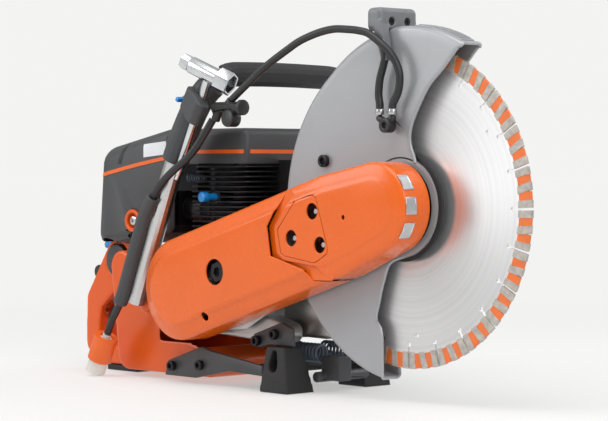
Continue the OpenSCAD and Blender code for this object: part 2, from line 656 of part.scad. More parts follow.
module tool_holder() color(dark) difference() {
    union() {
        sleeve(13, 22, tube_r + 4.5);
        hull() for (k = [[0, 0], [12, -16]]) translate([cx + 22 + k[0], leg_y - 14, handle_h - 30 + k[1]])
            rotate([0, 32, 0]) cylinder(h = 26, r = 9, center = true, $fn = 24);
    }
    tube([for (i = [11:24]) leg_path[i]], tube_r / cos(180 / 16) + 0.05, 16);
    translate(wrench_at) along_wrench() translate([0, 0, -100]) cylinder(h = 110, r = 5.2);
}

// The wrench is a T: a cross barrel with a socket at each end, on a long shaft
wrench_at = [cx + 50, leg_y - 10, 151];
module along_wrench() rotate([0, 26, 0]) rotate([0, 0, 18]) children();
module combination_wrench() color([0.78, 0.80, 0.80]) translate(wrench_at) along_wrench() {
    difference() {
        union() {
            rotate([0, 90, 0]) translate([0, 0, -26]) cylinder(h = 40, r = 10);
            rotate([0, 90, 0]) translate([0, 0, 14]) linear_extrude(18) hexagon(25);
            rotate([0, 90, 0]) translate([0, 0, -38]) linear_extrude(12) hexagon(17);
            translate([0, 0, -130]) cylinder(h = 122, r = 5);
            translate([0, 0, -136]) cylinder(h = 6, r = 3.5);
        }
        rotate([0, 90, 0]) translate([0, 0, 15]) linear_extrude(18) hexagon(19);
        rotate([0, 90, 0]) translate([0, 0, -39]) linear_extrude(12) hexagon(13);
    }
}

// ---- Water supply ----
valve_at = [cx + 80, leg_y - 6, 111];
module water_valve() color(black) difference() {
    union() {
        rod_x(valve_at.x - 24, valve_at.x + 20, valve_at.y, valve_at.z, 7);
        rod_x(valve_at.x + 20, valve_at.x + 26, valve_at.y, valve_at.z, 9);
        rod_y(valve_at.x + 4, valve_at.z - 12, valve_at.y - 7, valve_at.y + 7, 10);
        translate(valve_at + [-6, 0, 0]) rotate([0, 50, 0]) cylinder(h = 14, r = 5);
        translate(valve_at + [-16, 0, 0]) rotate([0, 208, 0]) cylinder(h = 16, r = 5);
    }
    tube([for (i = [14:30]) leg_path[i]], tube_r / cos(180 / 16) + 0.05, 16);
}
tap_at = [cx + 13, leg_y, 110];
module water_tap() color(blue) translate(tap_at) rotate([0, -54, 0]) translate([0, 0, tube_r + 5.6]) {
    cylinder(h = 6, r = 6);
    translate([-2.5, -14, 1]) cube([5, 12, 5]);
}

// The hoses, with points chosen by hand
water_points = [[-239, -46, 121], [-225, -46, 130], [-209, -46, 140], [-190, -46, 152], [-170, -45, 163],
    [-150, -44, 173], [-131, -43, 182], [-112, -42, 188], [-94, -41, 192], [-77, -39, 194], [-60, -37, 193],
    [-44, -35, 191], [-30, -33, 187], [-12, -31, 175], [0, -28, 163], [7, -26, 150], [9, -25, 138],
    [6, -24, 125], [1, -24, 116], [-2.5, -24, 111], [-3, -24, 106.2]];
bridge_points = [[-22, -24, 106.2], [-22.3, -24, 112], [-24, -24, 122], [-22, -24, 138], [-17, -24, 152], [-14, -24, 164],
    [-19, -23, 178], [-27, -21, 190], [-30, -13, 201], [-30, 0, 205], [-30, 13, 201], [-27, 21, 190],
    [-19, 23, 178], [-14, 24, 160], [-14, 24, 140], [-15, 24, 120], [-15, 24, 112], [-15, 24, 106.2]];
feed_points = [[-273, -46, 98], [-280, -51, 84], [-290, -57, 66], [-305, -60, 52], [-325, -61, 40],
    [-347, -60, 26], [-367, -58, 8], [-387, -55, -15], [-398, -55, -40], [-409, -55, -65], [-419, -55, -88],
    [-427, -55, -107], [-436, -54, -121], [-447, -52, -133], [-456, -51, -143], [-462, -50, -152], [-466, -50, -160]];
module water_hose() color(black) tube(bend(water_points, 2), hose_r);
module bridge_hose() color(black) tube(bend(bridge_points, 2), hose_r);
module inlet_hose() color(dark) tube(bend(feed_points, 2), feed_r);

module hose_channel() color(dark) {
    line = bend([for (i = [6:12]) feed_points[i]], 2);
    difference() {
        tube(line, feed_r + 4.5, 12);
        tube(bend([for (i = [5:13]) feed_points[i]], 2), feed_r + 0.3, 12);
        tube([for (i = [0:14]) leg_path[i]], tube_r / cos(180 / 16) + 0.05, 16);
    }
}

coupling_at = [-467, -50, -161];
coupling_tilt = 27;
module along_coupling() translate(coupling_at) rotate([0, 180 + coupling_tilt, 0]) children();
coupling_l = 52;
module hose_coupling() color([0.88, 0.87, 0.83]) along_coupling() difference() {
    union() {
        cylinder(h = 12, r = 5);
        translate([0, 0, 6]) cylinder(h = 30, r = 8.5);
        translate([0, 0, 36]) cylinder(h = coupling_l - 36, r = 12);
    }
    translate([0, 0, coupling_l - 18]) cylinder(h = 20, r = 6.5);
}
module coupling_collar() color(orange) along_coupling() difference() {
    translate([0, 0, 3]) cylinder(h = 32, r = 14.5);
    translate([0, 0, 2]) cylinder(h = 34, r = 8.5 + run);
}

// ---- Guard ----
// Radius of the guard's rim at the angle a; it flares at both ends of the opening
function rim_at(a) = rim_r + (a < 92 ? 11 : a < 128 ? 11 * (128 - a) / 36 : a > 225 ? (a - 225) / 7 : 0);
module rim_outline(from, to, by) polygon(concat([[0, 0]],
    [for (a = [from:3:to]) (rim_at(a) + by) * [cos(a), sin(a)]]));
k_blade = blade_r / 175;         // the opening's edge follows the blade's size
top_edge = [[94, 176], [83, 168], [63, 148], [43, 131], [26.5, 107.5], [16, 87], [14, 69], [23, 49]];
top_seam = [[-31, 50], [-18, 55.5], [-5, 78], [14, 120], [39, 158], [46, 230]];
low_edge = [[18, -50], [-16, -59.5], [-28, -82], [-35, -105], [-39, -123], [-30, -143], [-30, -240]];
low_seam = [[-92, -240], [-91, -136], [-86, -120], [-77, -95], [-72.5, -78], [-31, -50]];
module scaled(p) polygon([for (q = p) q * k_blade]);
module casting_outline() {
    intersection() {
        rim_outline(62, 98, 0);
        scaled(concat([[100, 240]], top_edge, top_seam));
    }
    intersection() {
        rim_outline(218, 263, 0);
        scaled(concat(low_edge, low_seam));
    }
    circle(flange_r + 2);
}
module shell_outline() difference() {
    intersection() {
        rim_outline(80, 263, 0);
        scaled(concat([[0, 0]], top_seam, [[-260, 240], [-260, -240]], low_seam));
    }
    circle(flange_r + 2);
}
module guard_cavity() difference() {
    plate(guard_t - guard_y, guard_y - guard_t) union() {
        rim_outline(50, 275, -guard_t);
        circle(120);
    }
}
module guard_shell() color(guard_grey) difference() {
    plate(-guard_y, guard_y) shell_outline();
    guard_cavity();
    rod_y(0, 0, guard_y - guard_t - 1, guard_y + 1, flange_r + 6);
}
module guard_casting() color(guard_grey) difference() {
    union() {
        plate(-guard_y, guard_y) casting_outline();
        rod_y(0, 0, plate_y + gap, guard_t - guard_y, flange_r + 2);
        for (k = [-1, 1]) plate(k < 0 ? -guard_y - 6 : guard_y, k < 0 ? -guard_y : guard_y + 6)
            translate([-9, 88]) circle(9);
    }
    guard_cavity();
    rod_y(0, 0, guard_y - guard_t - 1, guard_y + 1, flange_r + 6);
    rod_y(0, 0, -guard_y - 8, 0, boss_r + run);
}

grip_z = rim_r + 32;
module guard_grip() color(guard_grey) difference() {
    union() {
        soft_box([-40, -17], [-28, 30], [rim_r + 6, grip_z], 6);
        for (s = [-1, 1]) hull() {
            translate([-30, s > 0 ? guard_y + 2 : -guard_y - 14, rim_r + 12]) cube([12, 12, 6]);
            translate([-18, s > 0 ? guard_y + 2 : -guard_y - 13, 158 * k_blade]) cube([9, 11, 4]);
        }
    }
    plate(-guard_y - 0.02, guard_y + 0.02) rim_outline(80, 120, 0);
    tube(bend(bridge_points, 2), hose_r + 0.4);
    for (y = [-10, 14]) rod_x(-22, -16, y, rim_r + 17, 4.6);
}
module guard_screws() color(black) {
    for (y = [-10, 14]) difference() {
        rod_x(-22, -18, y, rim_r + 17, 4.5);
        rod_x(-20, -17, y, rim_r + 17, 2);
    }
    screw_y(-118 * k_blade, 50 * k_blade, -guard_y, 7, 5.5);
}

module nozzle_fittings() color(black) {
    difference() {
        union() {
            rod_y(-9, 88, -guard_y - 17, -guard_y - 6, 8);
            for (x = [-22, -3]) hull() {
                translate([x, -24, 94]) cylinder(h = 4, r = 4);
                translate([-9, -24, 88]) sphere(4, $fn = 16);
            }
            for (x = [-22, -3]) translate([x, -24, 97]) cylinder(h = 9, r = hose_r - 1.2);
        }
        rod_y(-9, 88, -guard_y - 18, -guard_y - 14, 3.5);
    }
    rod_y(-9, 88, guard_y + 6, guard_y + 15, 8);
    hull() {
        translate([-15, 24, 94]) cylinder(h = 4, r = 4);
        translate([-9, 24, 88]) sphere(4, $fn = 16);
    }
    translate([-15, 24, 97]) cylinder(h = 9, r = hose_r - 1.2);
}
module hose_clamps() color(steel) for (p = [[-22, -24], [-3, -24], [-15, 24]])
    translate([p.x, p.y, 99.5]) difference() {
        cylinder(h = 6, r = hose_r + 1.2);
        translate([0, 0, -1]) cylinder(h = 8, r = hose_r - 1.2);
    }

// ---- Undercarriage ----
spring_at = [[cx + 120, 26, cz - 70], [cx + 120, 66, cz - 70], [cx - 60, 12, cz + 130], [cx - 60, 118, cz + 130]];
foot_x = cx + 142;
foot_top = floor_z + 52;
foot_y = [-13, 111];
bracket_bolts = [[cx + 96, cz - 57], [cx + 126, cz - 48]];
module av_springs() color([0.35, 0.40, 0.47]) {
    for (k = [0:1]) spring(spring_at[k], 44, 9.8, 1.6, 7);
    for (k = [2:3]) spring(spring_at[k], 28, 5.5, 1, 6);
}
bar = [cx + 167, floor_z + 17];
module skid_frame() color(dark) {
    for (y = [-30, 120]) plate(y, y + 6) polygon([[cx - 56, tank_z], [cx - 50, tank_z + 18], [cx + 12, tank_z + 38],
        [cx + 28, tank_z + 34], [cx + 60, tank_z + 30], [foot_x - 23, tank_z + 22], [foot_x - 23, tank_z + 10],
        [cx + 60, tank_z + 12], [cx, tank_z]]);
    box([cx + 60, foot_x - 23], [-24, 120], [tank_z + 12, tank_z + 18]);
    plate(plate_y, main_y[0] - 2) polygon([[cx + 87, cz - 50], [cx + 135, cz - 34], [cx + 153, cz - 40],
        [cx + 155, foot_top], [cx + 113, foot_top], [cx + 95, cz - 66]]);
    rod_y(bar.x, bar.y, foot_y[0] + 22, foot_y[1] - 22, 6);
    box([cx + 164.5, cx + 194], [20, 40], [bar.y - 4, cz - 72]);
}
module frame_bolts() color(black) {
    for (k = [[cx - 40, tank_z + 12], [cx + 11, tank_z + 16]]) screw_y(k.x, k.y, -30, 6, 6);
    for (k = bracket_bolts) screw_y(k.x, k.y, plate_y, 6, 7);
}
module feet() color(black) {
    for (y = foot_y) difference() {
        hull() {
            translate([foot_x - 23, y - 22, floor_z]) cube([46, 44, 1]);
            translate([foot_x - 17, y - 16, foot_top - 4]) cube([30, 28, 4]);
        }
        plate(y - 30, y + 30) chain([[foot_x - 4, floor_z + 30, 7], [foot_x - 3, floor_z + 44, 4]]);
    }
    box([rear_x + 44, rear_x + 106], [handle_y[0], handle_y[1]], [floor_z, tank_z]);
}

in_place() blade_disc();
in_place() diamond_segments();
in_place() inner_flange();
in_place() outer_flange();
in_place() spindle();
in_place() arbor_bolt();
in_place() driven_pulley();
in_place() bearings();
in_place() cutting_arm();
in_place() drive_belt();
in_place() belt_cover_front();
in_place() belt_cover_rear();
in_place() cover_nuts();
in_place() clutch_drum();
in_place() clutch();
in_place() crankshaft();
in_place() connecting_rod();
in_place() piston();
in_place() cylinder_node();  // cylinder
in_place() decompression_valve();
in_place() spark_plug();
in_place() crankcase_right();
in_place() crankcase_left();
in_place() flywheel();
in_place() starter_cover();
in_place() starter_grip();
in_place() starter_reel();
in_place() muffler();
in_place() carburettor();
in_place() air_filter();
in_place() filter_cover();
in_place() cylinder_cover();
in_place() rear_handle();
in_place() fuel_cap();
in_place() throttle_trigger();
in_place() throttle_lock();
in_place() stop_switch();
in_place() mount_cap();
in_place() front_handle();
in_place() handle_grip();
in_place() tool_holder();
in_place() combination_wrench();
in_place() water_valve();
in_place() water_tap();
in_place() water_hose();
in_place() bridge_hose();
in_place() inlet_hose();
in_place() hose_channel();
in_place() hose_coupling();
in_place() coupling_collar();
in_place() guard_shell();
in_place() guard_casting();
in_place() guard_grip();
in_place() guard_screws();
in_place() nozzle_fittings();
in_place() hose_clamps();
in_place() av_springs();
in_place() skid_frame();
in_place() frame_bolts();
in_place() feet();
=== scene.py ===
import json
import math
import bpy
import bmesh
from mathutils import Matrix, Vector
from mathutils.bvhtree import BVHTree


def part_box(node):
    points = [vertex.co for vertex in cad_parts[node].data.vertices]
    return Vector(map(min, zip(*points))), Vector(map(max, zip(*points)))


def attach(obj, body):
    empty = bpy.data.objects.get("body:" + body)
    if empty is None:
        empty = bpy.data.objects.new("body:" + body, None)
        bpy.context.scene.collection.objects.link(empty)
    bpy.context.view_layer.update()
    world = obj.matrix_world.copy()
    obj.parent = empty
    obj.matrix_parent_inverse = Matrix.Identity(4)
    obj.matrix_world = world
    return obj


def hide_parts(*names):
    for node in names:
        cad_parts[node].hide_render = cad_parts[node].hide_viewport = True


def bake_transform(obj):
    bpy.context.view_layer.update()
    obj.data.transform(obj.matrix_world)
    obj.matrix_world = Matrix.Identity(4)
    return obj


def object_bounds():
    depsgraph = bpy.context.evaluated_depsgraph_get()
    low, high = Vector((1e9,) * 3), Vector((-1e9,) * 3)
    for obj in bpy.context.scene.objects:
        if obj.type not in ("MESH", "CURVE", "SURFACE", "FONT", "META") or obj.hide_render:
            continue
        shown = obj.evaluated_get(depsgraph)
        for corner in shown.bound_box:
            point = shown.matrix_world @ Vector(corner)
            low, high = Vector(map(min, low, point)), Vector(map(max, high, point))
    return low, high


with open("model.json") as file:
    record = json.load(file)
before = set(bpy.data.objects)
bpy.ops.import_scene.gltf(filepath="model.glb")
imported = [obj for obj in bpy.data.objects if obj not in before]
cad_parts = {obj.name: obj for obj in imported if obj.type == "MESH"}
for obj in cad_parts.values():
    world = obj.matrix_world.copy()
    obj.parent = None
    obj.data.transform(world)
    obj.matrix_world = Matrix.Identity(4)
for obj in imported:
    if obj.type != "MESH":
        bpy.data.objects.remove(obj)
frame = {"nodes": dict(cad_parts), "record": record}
cadLow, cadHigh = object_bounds()
nodes = frame["nodes"]
bladeLow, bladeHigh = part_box("blade_disc")
hub = (bladeLow + bladeHigh) / 2                      # the middle of the blade
bladeRadius = (bladeHigh.x - bladeLow.x) / 2 * 1000
print("frame loaded, blade radius", round(bladeRadius), "mm")


def at(x, y, z):      # millimetres from the hub, x forward, y left and z up
    return hub + Vector((x, y, z)) / 1000


# camera and light
cameraView = {"azimuth": 47.0, "elevation": 1.15, "lens": 130.3, "sensor": 36,
              "place": (1.6611, -1.7056, 0.0440)}      # metres from the hub


def makeCamera():
    azimuth, elevation = math.radians(cameraView["azimuth"]), math.radians(cameraView["elevation"])
    back = Vector((math.sin(azimuth) * math.cos(elevation), -math.cos(azimuth) * math.cos(elevation),
                  math.sin(elevation)))
    data = bpy.data.cameras.new("camera")
    data.lens, data.sensor_width = cameraView["lens"], cameraView["sensor"]
    data.clip_start, data.clip_end = 0.05, 50
    camera = bpy.data.objects.new("camera", data)
    bpy.context.scene.collection.objects.link(camera)
    camera.location = hub + Vector(cameraView["place"])
    camera.rotation_mode = "QUATERNION"
    camera.rotation_quaternion = (-back).to_track_quat("-Z", "Y")
    bpy.context.scene.camera = camera


makeCamera()


def softBox(name, place, aim, size, power):
    data = bpy.data.lights.new(name, "AREA")
    data.shape, data.size, data.size_y = "RECTANGLE", size[0], size[1]
    data.energy = power
    light = bpy.data.objects.new(name, data)
    bpy.context.scene.collection.objects.link(light)
    light.location = place
    light.rotation_mode = "QUATERNION"
    light.rotation_quaternion = (Vector(aim) - Vector(place)).to_track_quat("-Z", "Y")


middle = at(-150, 0, -20)
softBox("top light", (0.3, -0.9, 2.4), middle, (2.2, 2.0), 36)
softBox("right light", (2.6, -0.9, 1.5), middle, (1.4, 1.8), 27)
softBox("left light", (-1.8, -1.9, 1.3), middle, (1.2, 1.6), 19)
softBox("back light", (0.6, 2.4, 1.6), middle, (2.2, 1.2), 18)

world = bpy.data.worlds.new("studio")
bpy.context.scene.world = world
world.use_nodes = True


def paintWorld():
    tree = world.node_tree
    plain = tree.nodes["Background"]
    plain.inputs["Color"].default_value = (0.90, 0.90, 0.885, 1)
    room = tree.nodes.new("ShaderNodeBackground")
    room.inputs["Strength"].default_value = 0.62
    coords = tree.nodes.new("ShaderNodeTexCoord").outputs["Generated"]
    height = tree.nodes.new("ShaderNodeSeparateXYZ")
    tree.links.new(coords, height.inputs["Vector"])
    ramp = tree.nodes.new("ShaderNodeValToRGB")
    ramp.color_ramp.elements[0].position, ramp.color_ramp.elements[0].color = 0.0, (0.42, 0.42, 0.43, 1)
    ramp.color_ramp.elements[1].position, ramp.color_ramp.elements[1].color = 0.75, (1, 1, 1, 1)
    tree.links.new(height.outputs["Z"], ramp.inputs["Fac"])
    tree.links.new(ramp.outputs["Color"], room.inputs["Color"])
    seen = tree.nodes.new("ShaderNodeLightPath").outputs["Is Camera Ray"]
    mix = tree.nodes.new("ShaderNodeMixShader")
    tree.links.new(seen, mix.inputs["Fac"])
    tree.links.new(room.outputs["Background"], mix.inputs[1])
    tree.links.new(plain.outputs["Background"], mix.inputs[2])
    tree.links.new(mix.outputs["Shader"], tree.nodes["World Output"].inputs["Surface"])


paintWorld()
bpy.context.scene.view_settings.view_transform = "Standard"
print("camera and light made")


# mesh helpers
bodyOf = {node: body for body, members in frame["record"]["behaviour"]["bodies"].items() for node in members}


def merged(mesh, flat=True):
    work = bmesh.new()
    work.from_mesh(mesh)
    bmesh.ops.remove_doubles(work, verts=work.verts, dist=2e-6)
    if flat:
        bmesh.ops.dissolve_limit(work, angle_limit=math.radians(0.8), verts=work.verts, edges=work.edges)
    return work


def smoothShade(work, angle=32):
    for face in work.faces:
        face.smooth = True
    limit = math.radians(angle)
    for edge in work.edges:
        edge.smooth = not (len(edge.link_faces) == 2 and edge.calc_face_angle(0) > limit)


def asPiece(name, work, body, paint, standsFor=(), bevel=0, angle=35):
    if not bevel:
        smoothShade(work)
    else:
        for face in work.faces:
            face.smooth = True
    mesh = bpy.data.meshes.new(name)
    work.to_mesh(mesh)
    work.free()
    piece = bpy.data.objects.new(name, mesh)
    bpy.context.scene.collection.objects.link(piece)
    mesh.materials.append(paint)
    if bevel:
        rounding = piece.modifiers.new("rounding", "BEVEL")
        rounding.width, rounding.segments = bevel / 1000, 2
        rounding.limit_method, rounding.angle_limit = "ANGLE", math.radians(angle)
        rounding.use_clamp_overlap = False
        rounding.harden_normals = True
        rounding.miter_outer = "MITER_ARC"
    if body:
        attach(piece, body)
    if standsFor:
        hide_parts(*standsFor)
    return piece


def pieceName(node):
    first, *rest = node.split("_")
    return first + "".join(word.capitalize() for word in rest) + "Piece"


def closed(work):
    bmesh.ops.recalc_face_normals(work, faces=work.faces)
    return work


def softened(node, paint, bevel):
    return asPiece(pieceName(node), merged(nodes[node].data), bodyOf[node], paint, [node], bevel)


def paintNode(node, paint):
    mesh = nodes[node].data
    mesh.materials.clear()
    mesh.materials.append(paint)


# materials
def startMaterial(name, colour, roughness, metallic=0.0, specular=0.5):
    material = bpy.data.materials.new(name)
    material.use_nodes = True
    tree = material.node_tree
    shader = tree.nodes["Principled BSDF"]
    shader.inputs["Base Color"].default_value = (*colour, 1)
    shader.inputs["Roughness"].default_value = roughness
    shader.inputs["Metallic"].default_value = metallic
    shader.inputs["Specular IOR Level"].default_value = specular
    material.diffuse_color = (*colour, 1)
    coords = tree.nodes.new("ShaderNodeTexCoord").outputs["Object"]
    return material, tree, shader, coords


def noiseOf(tree, coords, scale, detail=3.0, stretch=None):
    if stretch:
        mapping = tree.nodes.new("ShaderNodeMapping")
        mapping.inputs["Scale"].default_value = stretch
        tree.links.new(coords, mapping.inputs["Vector"])
        coords = mapping.outputs["Vector"]
    noise = tree.nodes.new("ShaderNodeTexNoise")
    noise.inputs["Scale"].default_value = scale
    noise.inputs["Detail"].default_value = detail
    tree.links.new(coords, noise.inputs["Vector"])
    return noise.outputs["Fac"]


def rampOf(tree, value, stops):
    ramp = tree.nodes.new("ShaderNodeValToRGB")
    while len(ramp.color_ramp.elements) < len(stops):
        ramp.color_ramp.elements.new(0.5)
    for element, (place, colour) in zip(ramp.color_ramp.elements, stops):
        element.position = place
        element.color = (*colour, 1)
    tree.links.new(value, ramp.inputs["Fac"])
    return ramp.outputs["Color"]


def rangeOf(tree, value, low, high):
    node = tree.nodes.new("ShaderNodeMapRange")
    node.inputs["To Min"].default_value = low
    node.inputs["To Max"].default_value = high
    tree.links.new(value, node.inputs["Value"])
    return node.outputs["Result"]


def addBump(tree, shader, height, distance):      # distance in millimetres
    bump = tree.nodes.new("ShaderNodeBump")
    bump.inputs["Strength"].default_value = 1.0
    bump.inputs["Distance"].default_value = distance / 1000
    tree.links.new(height, bump.inputs["Height"])
    tree.links.new(bump.outputs["Normal"], shader.inputs["Normal"])


def shade(colour, factor):
    return tuple(min(1.0, c * factor) for c in colour)


def surface(name, colour, roughness, metallic=0.0, mottle=0.08, mottleScale=18, grain=900, grainDepth=0.02,
            spread=0.06, specular=0.5, coat=0.0, stretch=None):
    material, tree, shader, coords = startMaterial(name, colour, roughness, metallic, specular)
    cloudy = noiseOf(tree, coords, mottleScale, 4)
    tint = rampOf(tree, cloudy, [(0.3, shade(colour, 1 - mottle)), (0.7, shade(colour, 1 + mottle))])
    tree.links.new(tint, shader.inputs["Base Color"])
    fine = noiseOf(tree, coords, grain, 2, stretch)
    tree.links.new(rangeOf(tree, noiseOf(tree, coords, mottleScale * 3, 3, stretch), roughness - spread,
                   roughness + spread),
                   shader.inputs["Roughness"])
    addBump(tree, shader, fine, grainDepth)
    if coat:
        shader.inputs["Coat Weight"].default_value = coat
        shader.inputs["Coat Roughness"].default_value = 0.12
    return material


orangeCover = surface("orange cover plastic", (0.78, 0.125, 0.006), 0.27, mottle=0.03, grain=700, grainDepth=0.010,
                      spread=0.04, specular=0.35, coat=0.35)
orangeHandle = surface("orange handle plastic", (0.74, 0.100, 0.006), 0.34, mottle=0.04, grain=800, grainDepth=0.02,
                       spread=0.05, specular=0.35, coat=0.2)
orangeStripe = surface("orange stripe", (0.80, 0.13, 0.012), 0.35, mottle=0.03, grainDepth=0.006)
darkPlastic = surface("dark grey plastic", (0.050, 0.051, 0.054), 0.46, mottle=0.10, grain=1400, grainDepth=0.05,
                      spread=0.06)
blackPlastic = surface("black plastic", (0.014, 0.014, 0.015), 0.38, mottle=0.12, grain=1100, grainDepth=0.03)
blackRubber = surface("black rubber", (0.013, 0.013, 0.014), 0.60, mottle=0.15, grain=1300, grainDepth=0.05,
                      spread=0.08)
beltRubber = surface("belt rubber", (0.011, 0.011, 0.011), 0.75, grain=600, grainDepth=0.05)
guardPaint = surface("guard grey paint", (0.36, 0.37, 0.385), 0.33, metallic=0.25, mottle=0.035, mottleScale=10,
                     grain=1500, grainDepth=0.012, spread=0.04, coat=0.1)
gripGrey = surface("guard grip grey", (0.17, 0.175, 0.185), 0.38, mottle=0.05, grain=1300, grainDepth=0.02, spread=0.05)
castAlloy = surface("cast alloy", (0.50, 0.50, 0.49), 0.40, metallic=0.9, mottle=0.10, mottleScale=30, grain=520,
                    grainDepth=0.09, spread=0.1)
bareTube = surface("brushed tube", (0.62, 0.62, 0.62), 0.30, metallic=1.0, mottle=0.05, mottleScale=30, grain=260,
                   grainDepth=0.015, spread=0.08, stretch=(8, 8, 0.8))
turnedSteel = surface("turned steel", (0.56, 0.56, 0.56), 0.27, metallic=1.0, mottle=0.06, grain=500, grainDepth=0.01)
brightZinc = surface("bright zinc", (0.66, 0.68, 0.69), 0.20, metallic=1.0, mottle=0.08, mottleScale=60, grain=300,
                     grainDepth=0.02, spread=0.07)
blackSteel = surface("blackened steel", (0.022, 0.022, 0.024), 0.32, metallic=0.6, mottle=0.12, grain=700,
                     grainDepth=0.02)
mufflerSteel = surface("satin sheet steel", (0.50, 0.49, 0.46), 0.38, metallic=1.0, mottle=0.08, mottleScale=14,
                       grain=300, grainDepth=0.015, spread=0.08, stretch=(0.6, 6, 6))
springPaint = surface("spring enamel", (0.10, 0.13, 0.17), 0.35, metallic=0.3, mottle=0.08, grainDepth=0.01)
bluePlastic = surface("blue plastic", (0.008, 0.22, 0.60), 0.28, mottle=0.05, grainDepth=0.01, coat=0.3)
whitePlastic = surface("off-white plastic", (0.72, 0.70, 0.64), 0.34, mottle=0.03, grainDepth=0.012)
labelWhite = surface("label white", (0.74, 0.76, 0.78), 0.40, mottle=0.02, grainDepth=0.004)
filterPaper = surface("filter paper", (0.62, 0.56, 0.38), 0.85, mottle=0.1, grain=700, grainDepth=0.08)
whiteCeramic = surface("white ceramic", (0.75, 0.75, 0.73), 0.2, mottle=0.03, grainDepth=0.005)
segmentMetal = surface("sintered diamond metal", (0.47, 0.44, 0.40), 0.55, metallic=0.35, mottle=0.22, mottleScale=160,
                       grain=900, grainDepth=0.16, spread=0.1)
segmentOrange = surface("segment orange", (0.78, 0.17, 0.035), 0.5, mottle=0.08, mottleScale=60, grain=800,
                        grainDepth=0.05)


def vectorStep(tree, operation, first, second=None):
    step = tree.nodes.new("ShaderNodeVectorMath")
    step.operation = operation
    tree.links.new(first, step.inputs[0])
    if second:
        step.inputs[1].default_value = second
    return step.outputs["Value" if operation == "LENGTH" else "Vector"]


def ringNoise(tree, radius, scale, detail=2):
    noise = tree.nodes.new("ShaderNodeTexNoise")
    noise.noise_dimensions = "1D"
    noise.inputs["Scale"].default_value = scale
    noise.inputs["Detail"].default_value = detail
    tree.links.new(radius, noise.inputs["W"])
    return noise.outputs["Fac"]


def bladeSteelMaterial():      # ground in circles round the hub
    material, tree, shader, coords = startMaterial("ground blade steel", (0.70, 0.70, 0.70), 0.30, 0.8)
    flat = vectorStep(tree, "MULTIPLY", vectorStep(tree, "SUBTRACT", coords, hub), (1, 0, 1))
    radius = vectorStep(tree, "LENGTH", flat)
    tint = rampOf(tree, ringNoise(tree, radius, 220), [(0.3, (0.70, 0.70, 0.705)), (0.7, (0.76, 0.76, 0.76))])
    tree.links.new(tint, shader.inputs["Base Color"])
    tree.links.new(rangeOf(tree, noiseOf(tree, coords, 14, 4), 0.26, 0.36), shader.inputs["Roughness"])
    addBump(tree, shader, ringNoise(tree, radius, 7000), 0.002)
    grinding = tree.nodes.new("ShaderNodeTangent")
    grinding.direction_type, grinding.axis = "RADIAL", "Y"
    tree.links.new(grinding.outputs["Tangent"], shader.inputs["Tangent"])
    shader.inputs["Anisotropic"].default_value = 0.75
    return material


bladeSteel = bladeSteelMaterial()
print("materials made")


# shaping helpers
def hullOutline(circles, count=120):
    line = []
    for k in range(count):
        turn = math.tau * k / count
        way = (math.cos(turn), math.sin(turn))
        x, z, r = max(circles, key=lambda c: c[0] * way[0] + c[1] * way[1] + c[2])
        line.append(((x, z), way, r))
    return line


def loft(work, rings, close=True):
    verts = [[work.verts.new(p) for p in ring] for ring in rings]
    count = len(verts[0])
    for low, high in zip(verts, verts[1:]):
        for k in range(count if close else count - 1):
            n = (k + 1) % count
            work.faces.new((low[k], low[n], high[n], high[k]))
    return verts


def capEnds(work, rings):
    work.faces.new(list(reversed(rings[0])))
    work.faces.new(rings[-1])


def tubeRings(line, radius, sides):
    along = [(line[min(i + 1, len(line) - 1)] - line[max(i - 1, 0)]).normalized() for i in range(len(line))]
    side = along[0].orthogonal().normalized()
    rings = []
    for point, way in zip(line, along):
        side = (side - side.dot(way) * way).normalized()
        other = way.cross(side)
        rings.append([point + (math.cos(a) * side + math.sin(a) * other) * radius / 1000
                      for a in (math.tau * k / sides for k in range(sides))])
    return rings


def prism(outline, y0, y1, place=at):
    work = bmesh.new()
    capEnds(work, loft(work, [[place(x, y, z) for x, z in outline] for y in (y0, y1)]))
    return closed(work)


def circleLine(x, z, r, count=32):
    return [(x + r * math.cos(math.tau * k / count), z + r * math.sin(math.tau * k / count)) for k in range(count)]


def toObject(name, work):
    mesh = bpy.data.meshes.new(name)
    bmesh.ops.recalc_face_normals(work, faces=work.faces)
    work.to_mesh(mesh)
    work.free()
    thing = bpy.data.objects.new(name, mesh)
    bpy.context.scene.collection.objects.link(thing)
    return thing


def baked(thing):
    graph = bpy.context.evaluated_depsgraph_get()
    mesh = bpy.data.meshes.new_from_object(thing.evaluated_get(graph))
    thing.modifiers.clear()
    thing.data = mesh
    return thing


def carve(thing, tool, how="DIFFERENCE"):
    cutter = toObject("cutter", tool)
    step = thing.modifiers.new("carve", "BOOLEAN")
    step.operation, step.object, step.solver = how, cutter, "EXACT"
    baked(thing)
    bpy.data.objects.remove(cutter)


def finishThing(thing, name, body, paint, standsFor=(), bevel=0, angle=35):
    work = bmesh.new()
    work.from_mesh(thing.data)
    bpy.data.objects.remove(thing)
    bmesh.ops.remove_doubles(work, verts=work.verts, dist=1e-6)
    return asPiece(name, work, body, paint, standsFor, bevel, angle)


# cords
def splinePath(points, steps):
    path = []
    last = len(points) - 1
    for i in range(last):
        a, b, c, d = (Vector(points[min(max(k, 0), last)]) for k in (i - 1, i, i + 1, i + 2))
        for s in range(steps):
            t = s / steps
            path.append((2 * b + (c - a) * t + (2 * a - 5 * b + 4 * c - d) * t * t + (3 * b - a - 3 * c + d) * t ** 3) / 2)
    path.append(Vector(points[-1]))
    return path


def pathLength(path):
    return sum((b - a).length for a, b in zip(path, path[1:]))


def hoseTube(name, path, radius, body, standsFor):
    work = bmesh.new()
    capEnds(work, loft(work, tubeRings([at(*point) for point in path], radius, 20)))
    return asPiece(name, closed(work), body, blackHose, standsFor)


